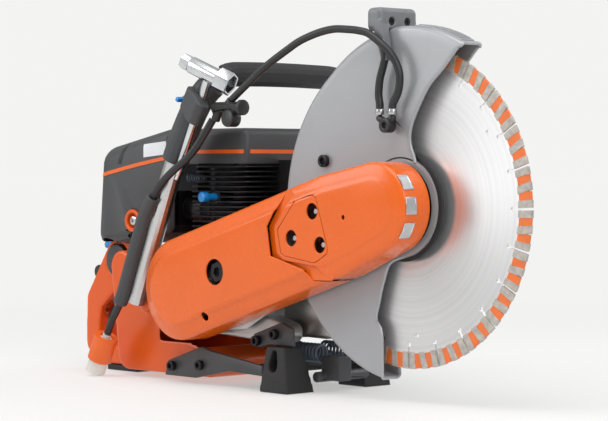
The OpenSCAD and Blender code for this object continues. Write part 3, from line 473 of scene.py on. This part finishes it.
waterHose = {"radius": 4.25, "points": [
    (-239, -46, 121), (-225, -46, 130), (-209, -46, 140), (-190, -46, 152), (-170, -45, 163), (-150, -44, 173),
    (-131, -43, 182), (-112, -42, 188), (-94, -41, 192), (-77, -39, 194), (-60, -37, 193), (-44, -35, 191),
    (-30, -33, 187), (-12, -31, 175), (0, -28, 163), (7, -26, 150), (9, -25, 138), (6, -24, 125), (1, -24, 116),
    (-2.5, -24, 111), (-3, -24, 106.2)]}
bridgeHose = {"radius": 4.25, "points": [
    (-22, -24, 106.2), (-22.3, -24, 112), (-24, -24, 122), (-22, -24, 138), (-17, -24, 152), (-14, -24, 164),
    (-19, -23, 178), (-27, -21, 190), (-30, -13, 201), (-30, 0, 205), (-30, 13, 201), (-27, 21, 190),
    (-19, 23, 178), (-14, 24, 160), (-14, 24, 140), (-15, 24, 120), (-15, 24, 112), (-15, 24, 106.2)]}
supplyHose = {"radius": 4.5, "points": [
    (-273, -46, 98), (-280, -51, 84), (-290, -57, 66), (-305, -60, 52), (-325, -61, 40), (-347, -60, 26),
    (-367, -58, 8), (-387, -55, -15), (-398, -55, -40), (-409, -55, -65), (-419, -55, -88), (-427, -55, -107),
    (-436, -54, -121), (-447, -52, -133), (-456, -51, -143), (-462, -50, -152), (-466, -50, -160)]}


def hoseMaterial():
    material, tree, shader, coords = startMaterial("black hose rubber", (0.016, 0.016, 0.017), 0.42)
    tree.links.new(rangeOf(tree, noiseOf(tree, coords, 60, 3), 0.36, 0.5), shader.inputs["Roughness"])
    addBump(tree, shader, noiseOf(tree, coords, 1500, 2), 0.03)
    return material


blackHose = hoseMaterial()


def makeCords():
    water = splinePath(waterHose["points"], 5)
    piece = hoseTube("waterHosePiece", water, waterHose["radius"], None, ["water_hose"])
    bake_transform(piece)
    supply = splinePath(supplyHose["points"], 5)
    piece = hoseTube("supplyHosePiece", supply, supplyHose["radius"], "saw", ["inlet_hose"])
    bridge = splinePath(bridgeHose["points"], 5)
    hoseTube("bridgeHosePiece", bridge, bridgeHose["radius"], "guard", ["bridge_hose"])
    print("hoses made:", round(pathLength(water)), "and", round(pathLength(supply)), "mm")


makeCords()


# belt covers
cover = {"rise": 17.1, "ends": [(-340, 0, 60), (-72, 0, 57), (0, 0, 49)], "edge": -20, "rearFace": -64,
         "frontFace": -60, "wall": 2.2,
         "rearProfile": [(0, 44), (0, 12), (0.5, 9.6), (2, 7.6), (4.5, 6.2), (14, 3.4), (16, 2.6), (18, 0.8), (19.5,
                         0.15), (21, 0)],
         "frontProfile": [(0, 44), (0, 8), (0.4, 5.4), (1.6, 3.4), (3.6, 2.3), (14, 1.3), (16.5, 1.1), (18.5, 0.25),
                          (20, 0)],
         "joint": [(-120, 90), (-120, 58), (-161, 25.5), (-165, -7.5), (-118, -36), (-111, -51), (-81, -60), (-81,
                   -90)],
         "lip": [(-119, 90), (-119, 57), (-113, 49), (-153, 22), (-157, -5), (-150, -17), (-100, -37.5), (-92, -50),
                 (-79, -60), (-79, -90)],
         "patch": [(-112, 41), (-103, 44), (-82, 38.5), (-78, 34), (-76.5, -25), (-80, -29), (-97, -33), (-103, -33),
                   (-147, -13), (-151, -8), (-149, 18)],
         "studs": [(-89, 22), (-130, 3), (-88, -16.5)], "studHole": 9, "tension": (-262, 0), "tensionHole": 15,
         "rearHole": (-296, -44, 5), "frontHole": (-44, 2, 2.6),
         "ledge": [(-122, 57), (-163, 26), (-167, -8), (-119, -38), (-112, -50), (-84, -58)],
         "ledgeInner": [(-108, 52), (-147, 22), (-151, -5), (-108, -30), (-96, -42), (-76, -55)]}
coverWindows = {"radius": 49, "low": -56.0, "high": -40.5, "width": 18.4, "turns": (17, -14, -46),
                "section": [(1.0, 0.7), (1.0, 0.9), (0.94, 1.15), (0.84, 1.15), (0.78, 0.9), (0.74, 0.5), (0.1, 0.45)]}


def onArm(x, y, z):
    turn = math.radians(cover["rise"])
    return at(x * math.cos(turn) - z * math.sin(turn), y, x * math.sin(turn) + z * math.cos(turn))


def coverShell(face, profile):
    work = bmesh.new()
    line = hullOutline(cover["ends"], 160)
    depth = cover["edge"] - face
    rings = []
    for inset, below in profile:
        y = face + min(below, depth)
        rings.append([onArm(c[0] + w[0] * (r - inset), y, c[1] + w[1] * (r - inset)) for c, w, r in line])
    verts = loft(work, rings)
    work.faces.new(verts[-1])
    thing = toObject("coverShell", work)
    if thing.data.polygons[-1].normal.y > 0:
        thing.data.flip_normals()
    wall = thing.modifiers.new("wall", "SOLIDIFY")
    wall.thickness, wall.offset = cover["wall"] / 1000, -1
    return baked(thing)


def ringLoft(work, rings):
    verts = loft(work, rings)
    count = len(verts[0])
    for k in range(count):
        n = (k + 1) % count
        work.faces.new((verts[-1][k], verts[-1][n], verts[0][n], verts[0][k]))


def ringPrism(outline, width, y0, y1):      # width is the share of the way to the outline's middle
    work = bmesh.new()
    cx = sum(p[0] for p in outline) / len(outline)
    cz = sum(p[1] for p in outline) / len(outline)
    inner = [(x + (cx - x) * width, z + (cz - z) * width) for x, z in outline]
    loops = ((outline, y0), (outline, y1), (inner, y1), (inner, y0))
    ringLoft(work, [[onArm(x, y, z) for x, z in line] for line, y in loops])
    return work


def makeBeltCovers():
    rear = coverShell(cover["rearFace"], cover["rearProfile"])
    side = cover["joint"] + [(-480, -90), (-480, 90)]
    carve(rear, prism(side, -80, 0, onArm), "INTERSECT")
    carve(rear, prism(circleLine(*cover["tension"], cover["tensionHole"]), -70, -50, onArm))
    carve(rear, prism(circleLine(*cover["rearHole"], 20), -70, -45, onArm))
    finishThing(rear, "beltCoverRearPiece", "saw", orangeCover, ["belt_cover_rear"], 0.7, 40)
    front = coverShell(cover["frontFace"], cover["frontProfile"])
    carve(front, prism(cover["lip"] + [(80, -90), (80, 90)], -80, 0, onArm), "INTERSECT")
    for x, z in cover["studs"]:
        carve(front, prism(circleLine(x, z, cover["studHole"]), -66, -50, onArm))
    carve(front, prism(circleLine(*cover["frontHole"], 16), -66, -50, onArm))
    carve(front, ringPrism(cover["patch"], 0.02, cover["frontFace"] - 1, cover["frontFace"] + 0.9))
    finishThing(front, "beltCoverFrontPiece", "saw", orangeCover, ["belt_cover_front"], 0.5, 40)
    makeJointLedge()


def makeJointLedge():      # the step between the two halves
    strip = bmesh.new()
    line, inner = cover["ledge"], cover["ledgeInner"]
    a = loft(strip, [[onArm(x, -57.5, z) for x, z in line], [onArm(x, -57.5, z) for x, z in inner]], False)
    b = loft(strip, [[onArm(x, -55, z) for x, z in inner], [onArm(x, -55, z) for x, z in line]], False)
    for k in range(len(line) - 1):
        strip.faces.new((a[0][k], a[0][k + 1], b[1][k + 1], b[1][k]))
        strip.faces.new((a[1][k], a[1][k + 1], b[0][k + 1], b[0][k]))
    for end in (0, -1):
        strip.faces.new((a[0][end], a[1][end], b[0][end], b[1][end]))
    asPiece("coverJointLedge", closed(strip), "saw", orangeCover)


def hexBolt(work, centre, r, y0, y1, chamfer=0.8, socket=0.0):
    x, z = centre
    flats = [(r / math.cos(math.pi / 6) * math.cos(math.tau * k / 6),
             r / math.cos(math.pi / 6) * math.sin(math.tau * k / 6)) for k in range(6)]
    rings = [[onArm(x + u * f, y, z + v * f) for u, v in flats] for y, f in
             ((y1, 1.0), (y0 + chamfer, 1.0), (y0, 1 - chamfer / r))]
    if socket:
        rings += [[onArm(x + u * f, y, z + v * f) for u, v in flats] for y, f in ((y0, socket), (y0 + 4, socket))]
    capEnds(work, loft(work, rings))


def disc(work, place, x, z, profile, count=28):
    capEnds(work, loft(work, [[place(u, y, v) for u, v in circleLine(x, z, r, count)] for y, r in profile]))


def makeCoverNuts():
    nuts = bmesh.new()
    for x, z in cover["studs"]:
        hexBolt(nuts, (x, z), 6.5, -51, -42, 1.2)
        disc(nuts, onArm, x, z, [(-41, 8.6), (-43, 8.6), (-43.4, 8.2), (-43.4, 5)])
    hexBolt(nuts, cover["tension"], 11.5, -60, -48, 1.0, 0.45)
    disc(nuts, onArm, *cover["tension"], [(-46, 14.4), (-56, 14.4), (-57, 13.6), (-57, 12.2), (-54, 12), (-54, 8)])
    asPiece("coverNutsPiece", closed(nuts), "saw", blackSteel, ["cover_nuts"], 0.3, 40)
    tips = bmesh.new()
    for x, z in cover["studs"]:
        disc(tips, onArm, x, z, [(-45, 3.6), (-53, 3.6), (-54, 2.8)], 20)
    asPiece("studTips", closed(tips), "saw", turnedSteel)


def makeCoverWindows():
    plates = bmesh.new()
    radius, y0, y1 = coverWindows["radius"], coverWindows["low"], coverWindows["high"]
    half = coverWindows["width"] / 2 / radius
    for turn in coverWindows["turns"]:
        rings = []
        for size, height in coverWindows["section"]:
            ring = []
            for u, v in [(-1, -1), (0, -1), (1, -1), (1, 0), (1, 1), (0, 1), (-1, 1), (-1, 0)]:
                a = math.radians(turn) + half * u * size
                y = (y0 + y1) / 2 + (y1 - y0) / 2 * v * size
                ring.append(onArm((radius + height) * math.cos(a), y, (radius + height) * math.sin(a)))
            rings.append(ring)
        capEnds(plates, loft(plates, rings))
    asPiece("coverWindowFrames", closed(plates), "saw", brightZinc)


makeBeltCovers()
makeCoverNuts()
makeCoverWindows()
print("belt covers made")

# guard
guard = {"rim": 184, "flare": 11, "half": 14.0, "inner": 52.5, "corner": 5.0, "wall": 2.0, "collar": (46.5, 50, 54),
         "topEdge": [(23, 49), (14, 69), (16, 87), (26.5, 107.5), (43, 131), (63, 148), (83, 168), (94, 176)],
         "topSeam": [(-31, 50), (-18, 55.5), (-5, 78), (14, 120), (39, 158), (46, 230)],
         "lowSeam": [(-31, -50), (-72.5, -78), (-77, -95), (-86, -120), (-91, -136), (-92, -240)],
         "lowEdge": [(18, -50), (-16, -59.5), (-28, -82), (-35, -105), (-39, -123), (-30, -143), (-30, -240)]}


def polarEdge(points, steps=10):
    path = splinePath([(x, 0, z) for x, z in points], steps)
    return [(math.hypot(p.x, p.z), math.atan2(p.z, p.x) % math.tau) for p in path]


def angleAt(edge, r):
    if r <= edge[0][0]:
        return edge[0][1]
    for (r0, a0), (r1, a1) in zip(edge, edge[1:]):
        if r0 <= r <= r1:
            return a0 + (a1 - a0) * (r - r0) / max(r1 - r0, 1e-6)
    return edge[-1][1]


def rimAt(a):
    a = math.degrees(a)
    if a < 128:
        return guard["rim"] + guard["flare"] * min(1, (128 - a) / 36)
    return guard["rim"] + max(0, (a - 225) / 7)


def guardSheet(name, first, last, proud, steps):
    half, corner, inner = guard["half"] + proud, guard["corner"], guard["inner"]
    columns = []
    for u in range(steps + 1):
        share = u / steps

        def turnAt(r):
            low, high = angleAt(first, r), angleAt(last, r)
            return low + (high - low) * share

        rim = rimAt(turnAt(guard["rim"] + 8)) + proud * 0.6
        wallRadii = [inner + (rim - corner - inner) * t / 22 for t in range(23)]
        bends = [math.pi / 2 * k / 6 for k in range(1, 6)]
        section = [(r, -half, r) for r in wallRadii]
        section += [(rim - corner + corner * math.sin(b), -half + corner * (1 - math.cos(b)), rim) for b in bends]
        section += [(rim, (-half + corner) + 2 * (half - corner) * k / 6, rim) for k in range(7)]
        section += [(rim - corner + corner * math.sin(b), half - corner * (1 - math.cos(b)),
                    rim) for b in reversed(bends)]
        section += [(r, half, r) for r in reversed(wallRadii)]
        columns.append([at(r * math.cos(turnAt(edge)), y, r * math.sin(turnAt(edge))) for r, y, edge in section])
    work = bmesh.new()
    loft(work, columns, False)
    thing = toObject(name, work)
    middleFace = thing.data.polygons[len(thing.data.polygons) // 2]
    if middleFace.normal.dot(middleFace.center - hub) < 0:
        thing.data.flip_normals()
    wall = thing.modifiers.new("wall", "SOLIDIFY")
    wall.thickness, wall.offset, wall.use_even_offset = guard["wall"] / 1000, -1, True
    return baked(thing), columns


def bead(work, line, radius):
    capEnds(work, loft(work, tubeRings(line, radius, 8)))


def makeGuard():
    topEdge, topSeam = polarEdge(guard["topEdge"]), polarEdge(guard["topSeam"])
    lowSeam, lowEdge = polarEdge(guard["lowSeam"]), polarEdge(guard["lowEdge"])
    shell = guardSheet("shell", topSeam, lowSeam, 0.0, 72)[0]
    finishThing(shell, "guardShellPiece", "guard", guardPaint, ["guard_shell"])
    work = bmesh.new()
    top, topColumns = guardSheet("topCasting", topEdge, topSeam, 0.9, 20)
    work.from_mesh(top.data)
    bead(work, topColumns[0], 2.0)
    low, lowColumns = guardSheet("lowCasting", lowSeam, lowEdge, 0.25, 20)
    work.from_mesh(low.data)
    for used in (top, low):
        bpy.data.objects.remove(used)
    lip = [Vector((p.x, max(p.y, hub.y - 0.0126),
           p.z)) for p in lowColumns[-1]]      # clear of the arm when the guard tilts
    bead(work, lip, 1.8)
    inner, edge, outer = guard["collar"]
    for side in (-1, 1):
        y0, y1 = side * (guard["half"] - 1.9), side * (guard["half"] + 0.9)
        section = [(y0, inner), (y1, inner), (y1, edge), (y1, outer), (y0, outer)]
        ringLoft(work, [[at(x, y, z) for x, z in circleLine(0, 0, r, 72)] for y, r in section])
    asPiece("guardCastingPiece", closed(work), "guard", guardPaint, ["guard_casting"])
    # a black rubber ring inside the guard beside the collar, put there as painted shade for the dark gap between guard
    # and flange
    asPiece("guardCollarShadeRing", closed(ringPrism(circleLine(0, 0, 59, 72), 4.6 / 59, -11.9, -8.5)), "guard", blackRubber,
            bevel=0.4)


makeGuard()
print("guard made")

# repeated shapes, by Geometry Nodes
def ringTree(name, paint):
    tree = bpy.data.node_groups.new(name, "GeometryNodeTree")
    face = tree.interface
    face.new_socket("Geometry", in_out="INPUT", socket_type="NodeSocketGeometry")
    count = face.new_socket("Count", in_out="INPUT", socket_type="NodeSocketInt")
    turn = face.new_socket("Turn", in_out="INPUT", socket_type="NodeSocketFloat")
    move = face.new_socket("Move", in_out="INPUT", socket_type="NodeSocketVector")
    centre = face.new_socket("Centre", in_out="INPUT", socket_type="NodeSocketVector")
    face.new_socket("Geometry", in_out="OUTPUT", socket_type="NodeSocketGeometry")
    make, link = tree.nodes.new, tree.links.new
    start, end = make("NodeGroupInput"), make("NodeGroupOutput")
    points, place = make("GeometryNodePoints"), make("GeometryNodeInstanceOnPoints")
    index, scale, along = make("GeometryNodeInputIndex"), make("ShaderNodeMath"), make("ShaderNodeVectorMath")
    scale.operation, along.operation = "MULTIPLY", "SCALE"
    euler, spin = make("ShaderNodeCombineXYZ"), make("FunctionNodeEulerToRotation")
    real, shift, coat = make("GeometryNodeRealizeInstances"), make("GeometryNodeTransform"), make("GeometryNodeSetMaterial")
    coat.inputs["Material"].default_value = paint
    link(start.outputs["Count"], points.inputs["Count"])
    link(index.outputs["Index"], scale.inputs[0])
    link(start.outputs["Turn"], scale.inputs[1])
    link(scale.outputs[0], euler.inputs["Y"])
    link(euler.outputs[0], spin.inputs[0])
    link(start.outputs["Move"], along.inputs[0])
    link(index.outputs["Index"], along.inputs["Scale"])
    link(along.outputs[0], points.inputs["Position"])
    link(points.outputs[0], place.inputs["Points"])
    link(start.outputs["Geometry"], place.inputs["Instance"])
    link(spin.outputs[0], place.inputs["Rotation"])
    link(place.outputs[0], shift.inputs["Geometry"])
    link(start.outputs["Centre"], shift.inputs["Translation"])
    link(shift.outputs[0], real.inputs[0])
    link(real.outputs[0], coat.inputs["Geometry"])
    link(coat.outputs[0], end.inputs[0])
    return tree, {"Count": count.identifier, "Turn": turn.identifier, "Move": move.identifier,
                  "Centre": centre.identifier}


def repeated(name, unit, paint, body, count, turn=0.0, move=(0, 0, 0), centre=(0, 0, 0), standsFor=(),
             bevel=0):
    thing = toObject(name, unit)
    tree, sockets = ringTree(name + "Rule", paint)
    rule = thing.modifiers.new("rule", "NODES")
    rule.node_group = tree
    rule[sockets["Count"]] = count
    rule[sockets["Turn"]] = turn
    rule[sockets["Move"]] = tuple(move)
    rule[sockets["Centre"]] = tuple(centre)
    thing.update_tag()
    bpy.context.view_layer.update()
    baked(thing)
    return finishThing(thing, name, body, paint, standsFor, bevel)


# blade
blade = {"count": 24, "outer": 175.0, "inner": 158.0, "padHalf": 1.9, "recessHalf": 1.45, "slant": 1.1,
         "pads": [(-7.05, -4.35), (-1.45, 1.45), (4.35, 7.05)], "recesses": [(-4.5, -1.3), (1.3, 4.5)]}


def arcBlock(work, r0, r1, a0, a1, half, slant=0.0, steps=3):
    grid = []
    for r in (r0, r1):
        lean = slant * (0.5 if r == r1 else -0.5)
        for y in (-half, half):
            row = []
            for k in range(steps + 1):
                a = math.radians(a0 + (a1 - a0) * k / steps + lean)
                row.append(work.verts.new(Vector((r * math.cos(a), y, r * math.sin(a))) / 1000))
            grid.append(row)
    a, b, c, d = grid
    for k in range(steps):
        for low, high in ((a, b), (b, d), (d, c), (c, a)):
            work.faces.new((low[k], low[k + 1], high[k + 1], high[k]))
    for k in (0, steps):
        work.faces.new((a[k], b[k], d[k], c[k]))


def makeBlade():
    asPiece("bladeCore", merged(nodes["blade_disc"].data), "blade", bladeSteel, ["blade_disc"])
    count, step, middle = blade["count"], math.tau / blade["count"], 180 / blade["count"]
    pads, recess = bmesh.new(), bmesh.new()
    for first, last in blade["pads"]:
        slant = blade["slant"] if abs(first + last) < 1 else 0.25
        arcBlock(pads, blade["inner"] - 1.4, blade["outer"], first + middle, last + middle, blade["padHalf"], slant)
    for first, last in blade["recesses"]:
        arcBlock(recess, blade["inner"], blade["outer"] - 0.7, first + middle, last + middle, blade["recessHalf"])
    repeated("diamondPads", pads, segmentMetal, "blade", count, step, centre=hub,
             standsFor=["diamond_segments"], bevel=0.25)
    repeated("segmentRecesses", recess, segmentOrange, "blade", count, step, centre=hub)


makeBlade()
print("blade made")


# moulded and cast bodies
def islandsOf(work):
    islands, left = [], set(work.faces)
    while left:
        stack, island = [left.pop()], []
        while stack:
            face = stack.pop()
            island.append(face)
            for other in (other for edge in face.edges for other in edge.link_faces):
                if other in left:
                    left.discard(other)
                    stack.append(other)
        islands.append(island)
    return islands


def moulded(node, paint, voxel, rounds, seat=None):      # voxel in millimetres; seat is a node left clear
    work = merged(nodes[node].data, False)
    for island in islandsOf(work):
        if sum(f.calc_center_median().dot(f.normal) * f.calc_area() for f in island) < 0:      # an inner wall
            bmesh.ops.delete(work, geom=island, context="FACES")
    thing = toObject(node, work)
    skin = thing.modifiers.new("skin", "REMESH")
    skin.mode, skin.voxel_size, skin.adaptivity = "VOXEL", voxel / 1000, 0
    smooth = thing.modifiers.new("smooth", "SMOOTH")
    smooth.factor, smooth.iterations = 0.5, rounds
    baked(thing)
    if seat:
        low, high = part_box(seat)
        middle, half = ((low + high) / 2 - hub) * 1000, (high.x - low.x) * 500 + 2.5
        carve(thing, prism(circleLine(middle.x, middle.z, half, 40), -140, (high.y - hub.y) * 1000))
    return finishThing(thing, pieceName(node), bodyOf[node], paint, [node])


moulded("rear_handle", orangeHandle, 2.2, 7, seat="mount_cap")
moulded("crankcase_right", castAlloy, 1.8, 4)
moulded("crankcase_left", castAlloy, 1.8, 4)
moulded("feet", blackRubber, 1.6, 4)
moulded("guard_grip", gripGrey, 1.0, 5)
moulded("tool_holder", darkPlastic, 1.0, 3)
moulded("hose_channel", darkPlastic, 1.0, 3)
print("moulded bodies made")


# top covers
topCover = {"stripe": [(-533, 33), (-500, 39), (-460, 46), (-407, 53.8), (-375, 58), (-341, 61.4), (-262, 61.4)],
            "stripeHeight": 4.6, "level": 61.4, "joint": -396, "label": (-448, -405, 55, 71)}


def draped(name, node, rows, paint, out=0.5, wall=1.2):
    source = merged(nodes[node].data, False)
    tree = BVHTree.FromBMesh(source)
    source.free()
    work = bmesh.new()
    lines = []
    for row in rows:
        line = []
        for x, y, z, way in row:
            start = at(x, y, z)
            hit = tree.ray_cast(start, Vector(way))[0]
            line.append(None if hit is None else hit - Vector(way).normalized() * out / 1000)
        lines.append(line)
    verts = [[None if p is None else work.verts.new(p) for p in line] for line in lines]
    for low, high in zip(verts, verts[1:]):
        for k in range(len(low) - 1):
            quad = (low[k], low[k + 1], high[k + 1], high[k])
            if None not in quad:
                work.faces.new(quad)
    bmesh.ops.recalc_face_normals(work, faces=work.faces)
    thing = toObject(name, work)
    if thing.data.polygons and thing.data.polygons[0].normal.dot(Vector(rows[0][0][3])) > 0:
        thing.data.flip_normals()
    skin = thing.modifiers.new("wall", "SOLIDIFY")
    skin.thickness, skin.offset = wall / 1000, -1
    baked(thing)
    return finishThing(thing, name, "saw", paint, ())


def makeCoverDetails():
    line = [p for p in splinePath([(x, 0, z) for x, z in topCover["stripe"]], 8) if p.x < topCover["joint"]]
    rise, level = [(p.x, p.z) for p in line], topCover["level"]
    run = [(x, level) for x in range(-393, -262, 3)]
    bands = {
        "filterStripeNear": ("filter_cover", [(x, -60, z) for x, z in rise], (0, 1, 0)),
        "cylinderStripeNear": ("cylinder_cover", [(x, -60, z) for x, z in run], (0, 1, 0)),
        "filterStripeFar": ("filter_cover", [(x, 200, z) for x, z in rise], (0, -1, 0)),
        "cylinderStripeFar": ("cylinder_cover", [(x, 200, z) for x, z in run], (0, -1, 0)),
        "cylinderStripeFront": ("cylinder_cover", [(-200, y, level) for y in range(0, 134, 3)], (-1, 0, 0)),
        "filterStripeBack": ("filter_cover", [(-640, y, 33) for y in range(4, 130, 3)], (1, 0, 0))}
    for name, (node, points, way) in bands.items():
        rows = [[(x, y, z + v * topCover["stripeHeight"] / 2, way) for x, y, z in points] for v in (-1, -0.33, 0.33, 1)]
        draped(name, node, rows, orangeStripe, 0.6)
    x0, x1, z0, z1 = topCover["label"]
    label = [[(x0 + (x1 - x0) * i / 10, -60, z0 + (z1 - z0) * j / 4 + i * 0.35, (0, 1,
             0)) for i in range(11)] for j in range(5)]
    draped("filterLabel", "filter_cover", label, labelWhite, 0.35, 0.6)


makeCoverDetails()
print("cover details made")

# filter cover fittings, grip strip and a black baffle of painted shade behind the fins
fittings = {"screw": (-469, -23, 9.5), "hole": (-475, -42), "slotLow": (-499, 47),
            "screwProfile": [(-2, 6.2), (-7.2, 6.2), (-8.4, 5.2), (-8.8, 3.4), (-8.8, 2.2), (-6.4, 2.0)],
            "holeProfile": [(-2, 3.4), (-8.7, 3.4), (-8.9, 3.0), (-8.7, 2.5), (-6, 2.3)],
            "baffle": [(-408, -60), (-408, 50), (-212, 52), (-212, -10), (-300, -60)]}
wearStrip = {"first": 65.5, "last": 84.0, "ribs": 22, "ribWidth": 17, "width": 20, "base": 1.4, "top": 2.4}


def turned(name, x, z, profile, count, paint, slotName):
    work = bmesh.new()
    disc(work, at, x, z, profile, count)
    asPiece(name, closed(work), "saw", paint)


def makeFittings():
    x, z, r = fittings["screw"]
    ring = [(0, r + 4.5), (-9.4, r + 4.5), (-10.2, r + 3.8), (-10.2, r + 1.0), (-9.2, r), (-3, r - 0.5)]
    turned("filterScrewRing", x, z, ring, 40, orangeHandle, "orange_plastic")
    turned("filterScrew", x, z, fittings["screwProfile"], 32, turnedSteel, "steel")
    turned("filterDrainHole", *fittings["hole"], fittings["holeProfile"], 20, blackPlastic, "black_plastic")
    # a black sheet draped on the cover where its slot is, painted shade for the slot's dark inside
    x, z = fittings["slotLow"]
    slot = [[(x + i * 2.2 + j * 1.1, -60, z + j * 3.2, (0, 1, 0)) for i in range(4)] for j in range(9)]
    draped("filterSlotShade", "filter_cover", slot, blackPlastic, 0.3, 0.5)
    # a black sheet behind the fins, painted shade where they would otherwise show daylight
    baffle = prism(fittings["baffle"], 45, 47)      # keeps daylight out from behind the fins
    asPiece("finShadeSheet", baffle, "saw", blackPlastic, bevel=0.4)
    low, high = ((corner - hub) * 1000 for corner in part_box("air_filter"))
    near, far, bottom, top = high.x + 1, high.x + 3, low.z - 2, high.z + 1
    screen = prism([(near, bottom), (near, top), (far, top), (far, bottom)], low.y - 1, high.y)
    asPiece("filterScreen", screen, "saw", blackPlastic, bevel=0.3)


def makeWearStrip():
    ribs = bmesh.new()
    first, last, count = wearStrip["first"], wearStrip["last"], wearStrip["ribs"]
    rim = guard["rim"] + guard["flare"]

    def corner(r, a, y):
        return ribs.verts.new(at(r * math.cos(a), y, r * math.sin(a)))

    for k in range(count):
        a = math.radians(first + (last - first) * (k + 0.5) / count)
        half = math.radians((last - first) / count * 0.34)
        points = []
        for r, spread in ((rim + 0.3, 1.0), (rim + wearStrip["top"], 0.7)):
            for turn in (a - half * spread, a + half * spread):
                for y in (-wearStrip["ribWidth"] / 2, wearStrip["ribWidth"] / 2):
                    points.append(corner(r, turn, y))
        for q in ((0, 1, 3, 2), (4, 5, 7, 6), (0, 1, 5, 4), (2, 3, 7, 6), (0, 2, 6, 4), (1, 3, 7, 5)):
            ribs.faces.new([points[i] for i in q])
    angles = [math.radians(first - 1 + (last - first + 2) * i / 24) for i in range(25)]
    a, b, c, d = [[corner(r, turn, y) for turn in angles] for r in (rim, rim + wearStrip["base"])
                  for y in (-wearStrip["width"] / 2, wearStrip["width"] / 2)]
    for i in range(24):
        for low, high in ((a, b), (b, d), (d, c), (c, a)):
            ribs.faces.new((low[i], low[i + 1], high[i + 1], high[i]))
    for i in (0, 24):
        ribs.faces.new((a[i], b[i], d[i], c[i]))
    asPiece("guardWearStrip", closed(ribs), "guard", guardPaint, bevel=0.3)


makeFittings()
makeWearStrip()
print("fittings made")

# carried-over pieces, rounded
finishes = {
    "inner_flange": (blackSteel, 1.0), "outer_flange": (turnedSteel, 0.8),
    "spindle": (turnedSteel, 0.5), "arbor_bolt": (turnedSteel, 0.6), "driven_pulley": (turnedSteel, 0.5),
    "bearings": (turnedSteel, 0.4), "cutting_arm": (castAlloy, 1.2), "drive_belt": (beltRubber, 0.5),
    "clutch_drum": (turnedSteel, 0.5), "clutch": (turnedSteel, 0.5), "crankshaft": (turnedSteel, 0.5),
    "connecting_rod": (turnedSteel, 0.8), "piston": (castAlloy, 0.5), "cylinder": (blackSteel, 0.5),
    "decompression_valve": (bluePlastic, 0.8), "spark_plug": (whiteCeramic, 0.5),
    "flywheel": (castAlloy, 0.6), "starter_cover": (darkPlastic, 2.0),
    "starter_grip": (blackPlastic, 1.5), "starter_reel": (blackPlastic, 0.6), "muffler": (mufflerSteel, 4.0),
    "carburettor": (blackSteel, 0.8), "air_filter": (filterPaper, 0.8), "filter_cover": (darkPlastic, 1.5),
    "cylinder_cover": (darkPlastic, 1.5), "fuel_cap": (blackPlastic, 1.5),
    "throttle_trigger": (blackPlastic, 2), "throttle_lock": (blackPlastic, 2), "stop_switch": (bluePlastic, 1.5),
    "mount_cap": (darkPlastic, 1.5), "combination_wrench": (brightZinc, 0.8),
    "water_valve": (blackPlastic, 1.0), "water_tap": (bluePlastic, 0.8),
    "guard_screws": (blackSteel, 0.6),
    "nozzle_fittings": (blackPlastic, 0.5), "hose_clamps": (turnedSteel, 0.3), "skid_frame": (darkPlastic, 1.5),
    "frame_bolts": (blackSteel, 0.6),
}
paintNode("front_handle", bareTube)
paintNode("handle_grip", blackRubber)
paintNode("av_springs", springPaint)
paintNode("hose_coupling", whitePlastic)
paintNode("coupling_collar", orangeStripe)
for node, (paint, bevel) in finishes.items():
    softened(node, paint, bevel)
print("carried-over pieces finished")


# floor
def makeFloor():
    mesh = bpy.data.meshes.new("floor")
    work = bmesh.new()
    for x, y in ((-40, -40), (40, -40), (40, 40), (-40, 40)):      # metres
        work.verts.new((x, y, cadLow.z - 0.0005))
    work.faces.new(work.verts)
    work.to_mesh(mesh)
    work.free()
    floor = bpy.data.objects.new("floor", mesh)
    bpy.context.scene.collection.objects.link(floor)
    paint = surface("pale floor", (0.50, 0.50, 0.49), 0.75, mottle=0.01, grainDepth=0.01)
    tree = paint.node_tree      # the floor fades into the plain background, away from the saw
    glow = tree.nodes["Principled BSDF"]
    glow.inputs["Specular IOR Level"].default_value = 0.1
    glow.inputs["Emission Color"].default_value = (1, 1, 0.985, 1)
    away = vectorStep(tree, "LENGTH", tree.nodes.new("ShaderNodeTexCoord").outputs["Object"])
    for low, high, socket in ((0.42, 0.872, "Emission Strength"), (0.43, 0.0, "Base Color")):
        fade = tree.nodes.new("ShaderNodeMapRange")
        fade.inputs["From Min"].default_value, fade.inputs["From Max"].default_value = 0.55, 1.7
        fade.inputs["To Min"].default_value, fade.inputs["To Max"].default_value = low, high
        tree.links.new(away, fade.inputs["Value"])
        tree.links.new(fade.outputs["Result"], glow.inputs[socket])
    mesh.materials.append(paint)


makeFloor()
